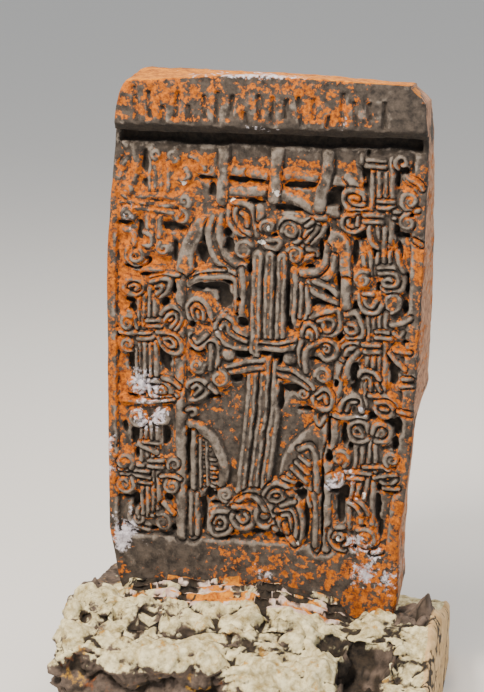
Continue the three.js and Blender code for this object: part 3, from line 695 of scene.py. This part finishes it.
palmette = {
    "strands": [
        (14, 1, [(340, 1232), (368, 1216), (394, 1192), (420, 1188), (446, 1210), (464, 1246), (474, 1278)]),
        (13, 1, [(364, 1226), (388, 1208), (410, 1206), (430, 1224), (448, 1254), (460, 1284)]),
        (14, 1, [(296, 1262), (326, 1254), (346, 1258), (350, 1290), (338, 1318), (306, 1326), (288, 1310),
            (286, 1284), (300, 1272)]),
        (13, 2, [(302, 1290), (316, 1272), (332, 1284), (328, 1304), (308, 1308)]),
        (10, 3, [(314, 1290), (318, 1292)]),
        (14, 1, [(354, 1238), (384, 1236), (408, 1250), (412, 1276), (394, 1298), (368, 1300), (352, 1280),
            (352, 1262)]),
        (13, 3, [(368, 1270), (380, 1284), (394, 1272), (388, 1258)]),
        (14, 1, [(420, 1246), (420, 1272), (434, 1292), (460, 1290), (476, 1270)]),
        (16, 4, [(438, 1264), (446, 1262)]),
        (14, 1, [(440, 1198), (450, 1176), (474, 1162), (500, 1172), (524, 1204), (540, 1244), (546, 1290),
            (534, 1338)]),
        (13, 2, [(452, 1206), (462, 1188), (482, 1184), (494, 1200), (482, 1216), (458, 1214)]),
        (10, 3, [(470, 1200), (476, 1200)]),
        (13, 2, [(474, 1244), (504, 1234), (526, 1254), (528, 1296), (522, 1336)]),
        (12, 3, [(492, 1256), (508, 1254), (514, 1282), (510, 1310)]),
        (14, 2, [(480, 1268), (492, 1300), (526, 1340)]), (16, 5, [(498, 1284), (504, 1306)]),
        (14, 3, [(486, 1228), (512, 1218), (522, 1214)]), (18, 4, [(508, 1190), (513, 1192)]),
        (16, 4, [(468, 1296), (472, 1300)]),
    ],
    "coils": [(334, 1204, 27, 90, 1.5, 1)],
    "pits": [
        (430, 1230, 5, 12), (424, 1312, 26, 9), (486, 1320, 22, 10), (348, 1316, 10, 8), (308, 1236, 20, 6),
        (290, 1210, 12, 20), (545, 1190, 10, 20), (330, 1334, 20, 4), (360, 1256, 18, 4), (534, 1170, 14, 14),
    ],
}


def carveStem(within=None, straps=(-1, 0, 1)):
    for strap in straps:
        line = np.array([(x + strap * stem["apart"], d) for x, d in stem["spine"]], float)
        carveStrand(stem["ridge"], 0 if strap else 1, line, ridges=2, within=within)


heightOver = slab["edge"] - down
leftOf = slab["middle"] - along(leftLine, heightOver)
rightOf = slab["middle"] + along(rightLine, heightOver)
border = (across < leftOf + slab["borderLeft"]) | (across > rightOf - slab["borderRight"])
plate[border] = slab["border"] + 2 * lumps((across, down), 22, 71)[border]
plate[down > slab["bandTop"]] = slab["band"]
smallCrosses = (leftHigh, leftMiddle, leftLow, rightHigh, rightMiddle, rightLow)
for part in (*smallCrosses, arch, head, arms, palmette):
    layBody(part)
carve(arch)
carve(rail)
for part in smallCrosses:
    carve(part)
carve(leaves)
carve(head)
carveStem()
carve(arms)
# straps of the stem pass over the arms again
carveStem((392, 424, 740, 800), (-1,))
carveStem((440, 476, 812, 860), (0, 1))
carve(palmette)
# the worn corner at the upper left is blunt and pitted
wornCorner = {"across": 130, "down": 330, "wide": 170, "tall": 190, "share": 0.75, "blur": 3.2, "pitted": 3}
reach = np.hypot((across - wornCorner["across"]) / wornCorner["wide"],
                 (down - wornCorner["down"]) / wornCorner["tall"])
share = wornCorner["share"] * np.clip(hump(reach, 1) * 1.3, 0, 1)
blunt = softened(plate, wornCorner["blur"]) + wornCorner["pitted"] * rough((across, down), 26, 81, 3)
plate = plate * (1 - share) + blunt * share
coveFoot = slab["edge"] + slab["coveHeight"]
cove = step(coveFoot, coveFoot - 12, down + 5 * lumps((across, down), 60, 91))
cove = cove * (across > leftOf + 14) * (across < rightOf - 16)
plate = np.maximum(plate, slab["coveDepth"] * cove)
plate = softened(plate, slab["wear"])
plate = plate + 1.3 * rough((across, down), 22, 101, 2)
print("carving laid out")

# strokes of the cornice: a row of upright and leaning marks that is no writing
strokes = {"count": 19, "first": 104, "pitch": 36, "foot": 24, "lift": 48, "tall": 96, "lean": 5, "deep": 9}
corniceCut = np.zeros(across.shape)
for i in range(strokes["count"]):
    x = strokes["first"] + strokes["pitch"] * i
    shorter = (i % 3) * 0.18 + (i % 5) * 0.07
    low = strokes["foot"] + (i % 2) * shorter * strokes["lift"]
    high = low + strokes["tall"] * (1 - shorter)
    slant = ((i % 4) - 1.5) * strokes["lean"]
    middle = x + slant * (heightOver - (low + high) / 2) / (high - low)
    inside = (heightOver > low) & (heightOver < high)
    corniceCut = np.maximum(corniceCut, strokes["deep"] * (1 - step(3, 8, np.abs(across - middle))) * inside)
corniceCut = softened(corniceCut, 1.2) + 2.6 * rough((across, down), 34, 111, 3)


def lookUp(table, u, v):
    # the plate's value at places u from the centre line and v over the cornice's edge
    i = np.clip((slab["edge"] - np.asarray(v) - plateD[0]) / cell, 0, table.shape[0] - 1.001)
    j = np.clip((np.asarray(u) + slab["middle"] - plateX[0]) / cell, 0, table.shape[1] - 1.001)
    i0, j0 = i.astype(int), j.astype(int)
    a, b = i - i0, j - j0
    top = table[i0, j0] * (1 - b) + table[i0, j0 + 1] * b
    return top * (1 - a) + (table[i0 + 1, j0] * (1 - b) + table[i0 + 1, j0 + 1] * b) * a


rows = slab["rowsShaft"] + slab["rowsCornice"]
slabMesh = blank("khachkar_stone", slab["columns"], rows, slab["layers"])
s, t, w = corners(slabMesh).T
row = np.rint(t * rows)
cornice = row > slab["rowsShaft"]
v = np.where(cornice, slab["cornice"] * (row - slab["rowsShaft"] - 1) / (slab["rowsCornice"] - 1) + 0.5,
             -slab["shaft"] * (1 - row / slab["rowsShaft"]))
side = 2 * s - 1
half = np.where(side > 0, along(rightLine, v), along(leftLine, v))
u = side * half
crest = along(crestLine, u)
v = np.where(v > 0, v * crest / slab["cornice"], v)
v = v + 3.0 * rough((u, 0 * u), 45, 121, 3) * hump(v, 14)
front = np.where(cornice, lookUp(corniceCut, u, v) - slab["proud"], lookUp(plate, u, v))
front = front + rough((u, v), 90, 11, 3) * 1.5 + np.where(cornice, slab["undercut"] * step(30, 2, v) ** 1.5, 0)
# arrises are rounded, and chipped here and there
toEdge = np.minimum(half - np.abs(u), np.where(v > 0, crest - v, 1e3))
toEdge = np.minimum(toEdge, np.where(cornice, v + 3, 1e3))
arris = slab["arris"] * (1 + 0.7 * lumps((u, v), 60, 21))
inward = np.clip(arris - toEdge, 0, arris)
front = front + arris - np.sqrt(np.maximum(arris ** 2 - inward ** 2, 0))
back = slab["thickness"] + rough((u, v), 120, 31, 4) * 5 - 6
y = front + (back - front) * w
u = u + np.where(side > 0, slab["rearSpread"] * along(rearLine, v) * w * side, 0)
v = v - np.where(v > 20, slab["topFall"] * w * step(20, 120, v) * step(-400, 0, u), 0)
sideways = rough((y, v), 60, 41, 4) * 2.5 * np.sign(side) * (np.abs(side) > 0.995)
u = u + sideways * step(0, 0.1, w)
v = v + np.where(t > 0.999, rough((u, y), 50, 51, 3) * 3 * step(0, 0.15, w) - 2, 0)
setCorners(slabMesh, np.column_stack([u + centreX, y + faceY, v + edgeZ]) * mm)
slabMesh.flip_normals()  # its rows climb and its layers run back, which turns the block inside out
slabPiece = bpy.data.objects.new("khachkar_stone", slabMesh)
bpy.context.collection.objects.link(slabPiece)
bpy.context.view_layer.update()
keepFaces(slabPiece, slab["triangles"])
slabMesh = slabPiece.data
print("slab shaped", len(slabMesh.polygons), "faces")

# what the stone's skin is like, place by place: how deep, how lit from above, where shade is painted, and where each
# lichen grows
u, y, v = (corners(slabMesh) / mm).T
u, y, v = u - centreX, y - faceY, v - edgeZ
deep = np.where(v > 0.2, lookUp(corniceCut, u, v), lookUp(plate, u, v))
faceAt = np.where(v > 0.2, deep - slab["proud"] + slab["undercut"] * step(30, 2, v) ** 1.5, deep)
onSide = step(5, 16, y - faceAt)
facing = normals(slabMesh)
level = facing[:, 2]
hollow = np.where(v > 0.2, lookUp(corniceCut - softened(corniceCut, 7), u, v),
                  lookUp(plate - softened(plate, 6), u, v))
onTop = step(0.5, 0.8, level) * step(90, 120, v)


def patches(spots):
    # strengths at the mesh's corners from oval spots: place, reach across, reach up, strength
    total = np.zeros(u.shape)
    for pu, pv, wide, tall, strength in spots:
        total = total + strength * np.exp(-(((u - pu) / wide) ** 2 + ((v - pv) / tall) ** 2))
    return total


# painted shade: darker in grooves, in pits, under the cornice and on under-sides, with random darker blotches
painted_shade = sum([
    0.24 * rough((u, y, v), 24, 161, 4),
    0.55 * step(1, 6, hollow), 0.1 * step(8, 20, deep),  # in grooves
    0.6 * step(26, 36, deep),  # in pits
    0.6 * step(30, 8, v) * step(-70, -30, v),  # under the cornice
    0.45 * step(0.1, -0.5, level) * (1 - onSide),  # on under-sides
]) * (1 - 0.8 * onSide) * (1 - onTop)
orange = patches([
    (-300, 90, 190, 90, 0.46), (20, 90, 200, 90, 0.3), (190, 60, 120, 70, 0.3), (350, 80, 60, 90, -0.5),
    (-330, -200, 130, 230, 0.2), (-410, -560, 45, 330, 0.4), (-425, -950, 28, 250, 0.25), (385, -300, 34, 330, 0.25),
    (355, -1050, 24, 250, 0.3), (-180, -110, 220, 80, 0.22), (120, -120, 200, 60, 0.25), (-290, -1180, 90, 60, -0.5),
    (300, -1270, 60, 50, 0.6), (150, -330, 120, 120, 0.12), (-60, -880, 120, 120, -0.3), (0, -620, 90, 90, -0.05),
    (-60, -1230, 150, 60, 0.16), (160, -1190, 120, 40, 0.06), (60, -1260, 150, 60, 0.1), (-300, -560, 70, 60, 0.2),
])
orange = orange + 0.05 + sum([
    0.3 * rough((u, y, v), 60, 171, 3), 0.5 * rough((u, y, v), 13, 181, 3),
    0.24 * step(0.02, 0.5, level), 0.5 * onTop,  # it likes upper sides
    0.55 * hump(hollow - 1.5, 2.6) * (v < 0),  # and the shoulders of grooves
    -0.4 * step(24, 34, deep), -0.3 * step(3, 7, hollow),  # it keeps off pits and narrow grooves
    -0.25 * onSide * (v < 0),  # the flanks
    -0.8 * step(36, 22, v) * step(-75, -45, v),  # the hollow under the cornice
    -0.16 * step(-1140, -1160, v),  # and the plain band at the foot
])
pale = patches([
    (-340, -690, 70, 60, 0.55), (-330, -790, 60, 60, 0.5), (-400, -1130, 40, 60, 0.8), (260, -740, 60, 30, 0.45),
    (200, -960, 70, 50, 0.55), (240, -1120, 70, 40, 0.45), (300, -1210, 90, 50, 0.6), (0, -1230, 60, 40, 0.35),
    (-60, 157, 190, 14, 0.6), (190, 40, 60, 40, 0.35), (-440, -900, 30, 150, 0.4), (-240, -260, 60, 40, 0.3),
    (330, -430, 60, 40, 0.25), (-20, 20, 60, 14, 0.5), (-370, -240, 50, 60, 0.3),
])
pale = 1.12 * pale + 0.25 * rough((u, y, v), 34, 191, 4) + 0.12 * step(0.2, 0.7, level) - 0.3 * step(10, 20, deep)
white = patches([
    (-228, -140, 10, 12, 1.0), (-95, -180, 10, 12, 1.0), (20, -155, 14, 16, 1.0), (0, -250, 8, 14, 0.9),
    (-20, -292, 16, 10, 1.0), (265, -980, 8, 14, 0.9), (195, -1110, 8, 8, 0.9), (83, -1135, 7, 12, 0.9),
    (265, -1250, 10, 8, 1.0), (-130, -535, 7, 9, 0.8), (-85, -540, 6, 8, 0.8),
]) + 0.14 * rough((u, y, v), 9, 201, 3)
# lighter ridge tops: worn stone with a painted highlight, plus random lighter patches
worn_and_highlight = 0.7 * step(0.5, -5, hollow) * (1 - onSide) + 0.3 * rough((u, y, v), 20, 291, 3)
flank = onSide * (1 - onTop) * (0.8 + 0.5 * rough((u, y, v), 80, 321, 4))
skin = {"worn_and_highlight": worn_and_highlight, "painted_shade": painted_shade, "flank": flank, "orange": orange, "pale": pale, "white": white,
        "crown": onTop}
for name, values in skin.items():
    writeAttribute(slabMesh, name, values)
slabMesh.shade_smooth()


# The base stone, in millimetres: x from the slab's centre line, y back from its carved face.
baseLow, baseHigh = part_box("base_stone")
base = {
    "columns": 200, "rows": 140, "layers": 56, "nominal": 300, "margin": 15,
    "brow": 46, "reach": 85,  # the rounding of its upper edges, and how far a given height is felt
    "cleftRight": 298, "cleftWide": 52, "cleftDeep": 165,
    "hornLeft": 396, "hornWide": 46, "hornBack": 26, "hornHeight": 62,
    "treadDeep": 24, "treadDrop": 11, "lip": 14,  # the torn layers along the slab's foot
    "footInset": 8, "socket": 169,
    "swells": [(112, 48, 0.6), (52, 26, 0.55), (24, 11, 0.5)],  # width, height and the level that stays put
}
# heights of the base's top over the ground: x from the slab's centre line, y from its carved face
topPoints = np.array([
    (-280, -100, 336), (3, -100, 346), (107, -100, 326), (231, -100, 270), (-449, -100, 345), (-475, 0, 304),
    (-490, -200, 318), (-505, -300, 300), (-540, -350, 265), (-444, -350, 262), (-254, -350, 272), (-100, -350, 258),
    (50, -350, 235), (250, -350, 208), (-300, -170, 315), (-155, -170, 305), (-400, -190, 305), (-150, -250, 285),
    (60, -220, 285), (150, -200, 272), (364, 0, 312), (432, 0, 306), (347, -100, 318), (440, -200, 276),
    (345, -300, 215), (436, -300, 215), (-500, 130, 262), (420, 90, 262), (420, 180, 208), (-400, 330, 235),
    (0, 330, 300), (400, 330, 185), (0, 230, 320),
], float)
# rounded mounds and lobes that stand on it, and dark holes: x, y, reach across, reach back, rise
mounds = np.array([
    (-330, -150, 26, 60, 15), (-262, -158, 24, 60, 18), (-205, -160, 22, 56, 14), (-500, -250, 40, 60, 14),
    (-430, -270, 44, 50, 12), (-470, -140, 30, 50, 16), (-100, -190, 60, 50, 10), (-20, -230, 70, 44, 12),
    (100, -210, 54, 50, 10), (380, -200, 44, 110, 12), (-235, -160, 7, 44, -26), (-296, -160, 6, 44, -22),
    (-384, -170, 9, 50, -26), (203, -190, 38, 32, -80), (60, -150, 70, 9, -20), (-90, -240, 60, 7, -16),
    (-430, -205, 60, 7, -16), (150, -280, 60, 8, -16), (-320, -260, 60, 8, -14),
], float)


def topHeight(x, y):
    weights = [np.exp(-((x - px) ** 2 + (y - py) ** 2) / (2 * base["reach"] ** 2)) + 1e-6 for px, py, pz in topPoints]
    return sum(weight * pz for weight, (px, py, pz) in zip(weights, topPoints)) / sum(weights)


def billow(places, size, seed):
    # rounded swellings from 0 to 1 with sharp creases between them
    return np.abs(lumps(places, size, seed) + 0.35 * lumps(places, size / 2.3, seed + 1)) ** 0.8


baseMesh = blank("base_rock", base["columns"], base["rows"], base["layers"])
p, q, h = corners(baseMesh).T
halfWide = (baseHigh.x - baseLow.x) / mm / 2 - base["margin"]
halfDeep = (baseHigh.y - baseLow.y) / mm / 2 - base["margin"]
box = np.column_stack([(p * 2 - 1) * halfWide, (q * 2 - 1) * halfDeep, h * base["nominal"]])
inner = np.column_stack([
    np.clip(box[:, 0], base["brow"] - halfWide, halfWide - base["brow"]),
    np.clip(box[:, 1], base["brow"] - halfDeep, halfDeep - base["brow"]),
    np.minimum(box[:, 2], base["nominal"] - base["brow"]),
])
off = box - inner
length = np.maximum(np.linalg.norm(off, axis=1), 1e-6)
rounded = inner + off / length[:, None] * np.minimum(length, base["brow"])[:, None]
x, y = rounded[:, 0] - centreX, rounded[:, 1] - faceY
cleft = step(base["cleftWide"] + 8, base["cleftWide"] - 8, np.abs(x - base["cleftRight"])) * step(-165, -205, y)
top = topHeight(x, y) * (1 - 0.36 * cleft)
for mx, my, wide, far, rise in mounds:
    top = top + rise * np.exp(-(((x - mx) / wide) ** 2 + ((y - my) / far) ** 2) ** 1.5)
# torn layers of a ledge along the slab's foot, with a gap between them, painted black as shade
ledges = step(-88, -68, y) * step(-420, -380, x) * step(250, 200, x) * step(30, 0, y)
tread = (-y - 6 + 12 * lumps((x, 0 * x), 60, 211) + 4 * lumps((x / 2, y), 20, 212)) / base["treadDeep"]
treads = np.clip(tread, 0, 3)
fallen = base["treadDrop"] * (np.floor(treads) + step(0, 0.3, treads % 1)) + base["lip"] * hump(tread % 1 - 0.1, 0.16)
top = top - ledges * (fallen - base["treadDrop"] - base["lip"])
horn = base["hornHeight"] * np.clip((x - base["hornLeft"]) / base["hornWide"], 0, 1)
horn = horn * step(462, 446, x) * step(20, 9, np.abs(y - base["hornBack"]))
places = np.column_stack([rounded[:, 0], rounded[:, 1], rounded[:, 2] / base["nominal"] * top])
inCleft = step(base["cleftWide"] + 8, base["cleftWide"] - 14, np.abs(x - base["cleftRight"]))
places[:, 1] += base["cleftDeep"] * inCleft * step(-290, -345, y) * step(40, 110, places[:, 2]) * (1 - (h > 0.99))
setCorners(baseMesh, places)
facing = normals(baseMesh)
warped = (places + 30 * np.column_stack([lumps(places.T, 60, seed) for seed in (141, 142, 143)])) * (0.8, 1, 1)
warped = warped @ np.array(Euler((0.5, 0.4, 0.6)).to_matrix())
swells = [billow(warped.T, size, 221 + 10 * i) for i, (size, high, level) in enumerate(base["swells"])]
sawn = step(418, 442, x) * step(-345, -300, y) * step(0.3, 0.6, facing[:, 0])
calm = (1 - 0.85 * sawn) * (1 - 0.6 * ledges) * (1 - 0.55 * step(-20, 60, y))
push = sum(high * (swell - level) for swell, (size, high, level) in zip(swells, base["swells"]))
push = push + 5 * rough(places.T, 18, 61, 3)
crease = sum(share * np.exp(-swell / width) for swell, share, width in zip(swells, (1, 0.8, 0.5), (0.09, 0.11, 0.12)))
places = places + facing * (push * calm)[:, None] * (h > 0.001)[:, None]
places[:, 2] += horn * (h > 0.99)
inFoot = (x > -along(leftLine, -1290) + base["footInset"]) & (x < along(rightLine, -1290) - base["footInset"]) & \
    (y > base["footInset"]) & (y < slab["thickness"] - base["footInset"] - 8)
places[:, 2] = np.where(inFoot & (h > 0.5), np.minimum(places[:, 2], base["socket"]), places[:, 2])
places[:, 2] = np.where(h < 0.001, 0, np.maximum(places[:, 2], 0.5))
for axis in (0, 1):
    places[:, axis] = np.clip(places[:, axis], baseLow[axis] / mm, baseHigh[axis] / mm)
setCorners(baseMesh, places * mm)
basePiece = bpy.data.objects.new("base_rock", baseMesh)
bpy.context.collection.objects.link(basePiece)
baseMesh.shade_smooth()
facing = normals(baseMesh)
height = places[:, 2]
cloud, mottle = rough(places.T, 110, 251, 4), rough(places.T, 26, 261, 4)
hole = np.exp(-(((x - 203) / 34) ** 2 + ((y + 190) / 30) ** 2)) * (h > 0.9)
# cream lichen, taken off the creases and hollows so the bare brown shows there as painted shade
cream_lichen_and_shade = 0.72 + sum([
    0.35 * cloud, 0.2 * mottle,
    0.42 * facing[:, 2],  # it likes upper sides
    0.35 * step(-200, 100, x) * step(0.2, -0.4, facing[:, 1]),  # and the front's right half
    -0.6 * crease, -0.34 * step(-4, -34, push),  # painted shade: it is taken off creases and hollows, so the darker stone shows there
    -1.5 * cleft, -1.2 * (horn > 2),
    -step(258, 150, height) * step(80, -140, x),  # the foot at the left
    -0.9 * step(-380, -470, x) * step(-90, -40, y),  # the left end beside the slab
    -1.3 * step(350, 372, x) * step(-60, -30, y) * step(90, 60, y) * (1 - sawn),  # and the right one
])
layer = ledges * step(0.2, 0.5, facing[:, 2] + 0.3 * mottle)
skin = {
    # painted shade: black in the creases, the hole, the cleft, the hollows between mounds and the gaps between the
    # ledge's layers, with random mottling
    "crack_shade": 0.85 * crease + 1.6 * hole + 0.6 * cleft + 0.3 * mottle - 0.06 + 0.4 * step(-6, -34, push) +
    0.8 * ledges * hump(tread % 1 - 0.1, 0.1),
    "stain": 0.5 * rough(places.T, 42, 311, 4) + 0.15 * cloud,
    "cream_lichen_and_shade": cream_lichen_and_shade, "sawn": sawn,
    "rust": 0.5 * cloud + 0.4 * mottle + 0.3 * step(260, 120, height) * step(-150, -60, x) * step(120, 20, x),
    "ledgeOrange": layer * (0.56 + 0.9 * rough((x / 7, y), 12, 271, 3)),
    "ledgePale": layer * (0.75 + 0.8 * rough((x / 5, y), 13, 281, 3)),
}
for name, values in skin.items():
    writeAttribute(baseMesh, name, values)
print("base shaped", len(baseMesh.polygons), "faces")


# the stones' finishes
lumpScale = 500  # a noise texture's scale for lumps 1 mm wide


def layered(tree, coords, ground, layers):
    # one colour over another: each layer covers where its attribute, frayed by a fine pattern, passes from low
    # to high; a row is the attribute, the pattern's size in mm, the fray, low, high, and a dark and a light colour
    surface = None
    for attribute, size, fray, low, high, dark, light in [ground, *layers]:
        fine = addNode(tree, "ShaderNodeTexNoise",
                       {"Vector": coords, "Scale": lumpScale / size, "Detail": 4, "Roughness": 0.65})
        spread = addNode(tree, "ShaderNodeMapRange",
                         {"Value": fine.outputs["Fac"], "From Min": 0.34, "From Max": 0.66})
        tone = addNode(tree, "ShaderNodeMix", {"Factor": spread.outputs[0], 6: linear(dark), 7: linear(light)},
                       data_type="RGBA")
        if surface is None:
            surface = tone.outputs[2]
            continue
        grown = addNode(tree, "ShaderNodeAttribute", attribute_name=attribute)
        frayed = addNode(tree, "ShaderNodeMath", {0: spread.outputs[0], 1: fray, 2: grown.outputs["Fac"]},
                         operation="MULTIPLY_ADD")
        cover = addNode(tree, "ShaderNodeMapRange", {"Value": frayed.outputs[0], "From Min": low, "From Max": high},
                        interpolation_type="SMOOTHSTEP")
        surface = addNode(tree, "ShaderNodeMix", {"Factor": cover.outputs[0], 6: surface, 7: tone.outputs[2]},
                          data_type="RGBA").outputs[2]
    return surface


def finish(name, ground, layers, grain, depth):
    # a matt stone skin: its layers of colour and a fine grain in relief, its width and depth in mm
    made, tree = newMaterial(name)
    coords = addNode(tree, "ShaderNodeTexCoord").outputs["Object"]
    surface = layered(tree, coords, ground, layers)
    pits = addNode(tree, "ShaderNodeTexNoise",
                   {"Vector": coords, "Scale": lumpScale / grain, "Detail": 5, "Roughness": 0.7})
    bump = addNode(tree, "ShaderNodeBump", {"Height": pits.outputs["Fac"], "Strength": 1.0, "Distance": depth * mm})
    skin = addNode(tree, "ShaderNodeBsdfPrincipled",
                   {"Base Color": surface, "Roughness": 0.93, "Normal": bump.outputs[0]})
    addNode(tree, "ShaderNodeOutputMaterial", {"Surface": skin.outputs["BSDF"]})
    return made


# weathered grey-brown tuff: painted shade in the hollows and on under-sides, a painted highlight on worn ridge tops,
# grown over by orange and lilac-white lichen, tan on its flanks
tuff = finish("weathered carved tuff with lichen", (None, 12, 0, 0, 0, "#25201c", "#574d44"), [
    # lighter ridge tops: wear and a painted highlight
    ("worn_and_highlight", 10, 0.4, 0.35, 0.95, "#62584e", "#8d8277"),
    ("flank", 9, 0.35, 0.6, 0.95, "#86604a", "#cc9b78"),
    # painted shade, near black, in the grooves, pits, under the cornice and on under-sides
    ("painted_shade", 7, 0.5, 0.55, 1.1, "#100c09", "#332a21"),
    ("orange", 5, 0.7, 0.78, 1.05, "#602802", "#ce7002"),
    ("crown", 9, 0.5, 0.62, 0.8, "#8a4800", "#e08a04"),
    ("pale", 6, 0.45, 0.68, 0.95, "#8f8890", "#dcd7df"),
    ("white", 5, 0.3, 0.75, 0.9, "#cfc8bc", "#f8f5ee"),
], 4, 2.2)

# rough quarry stone under cream lichen: brown where it is bare, rusty in places, with painted shade darkening its
# cracks, creases and hollows
rock = finish("rough rock with cream lichen", (None, 16, 0, 0, 0, "#3a3129", "#77665a"), [
    ("rust", 12, 0.3, 0.5, 0.8, "#6b3a1c", "#9a5a2c"),
    # cream lichen; where it is taken off creases and hollows the darker stone gives painted shade
    ("cream_lichen_and_shade", 12, 0.45, 0.6, 0.9, "#a08c5a", "#fff4c4"),
    ("stain", 8, 0.45, 0.55, 0.85, "#7a4a20", "#c99a3e"),
    ("sawn", 20, 0.1, 0.4, 0.7, "#b8935f", "#e2c08e"),
    ("ledgePale", 9, 0.3, 0.6, 0.8, "#c09a8a", "#f6e4d6"),
    ("ledgeOrange", 9, 0.4, 0.7, 0.95, "#a85006", "#f29a18"),
    # painted shade, near black, in cracks, creases and hollows
    ("crack_shade", 8, 0.25, 0.6, 1.0, "#14100c", "#3f3428"),
], 5, 3.5)

slabMesh.materials.append(tuff)
baseMesh.materials.append(rock)
for piece, node, slotName in ((slabPiece, "slab", "carved_stone"), (basePiece, "base_stone", "rough_stone")):
    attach(piece, "root")
    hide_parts(node)

low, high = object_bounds()
print("sizes", [round(c, 4) for c in (*low, *high)])
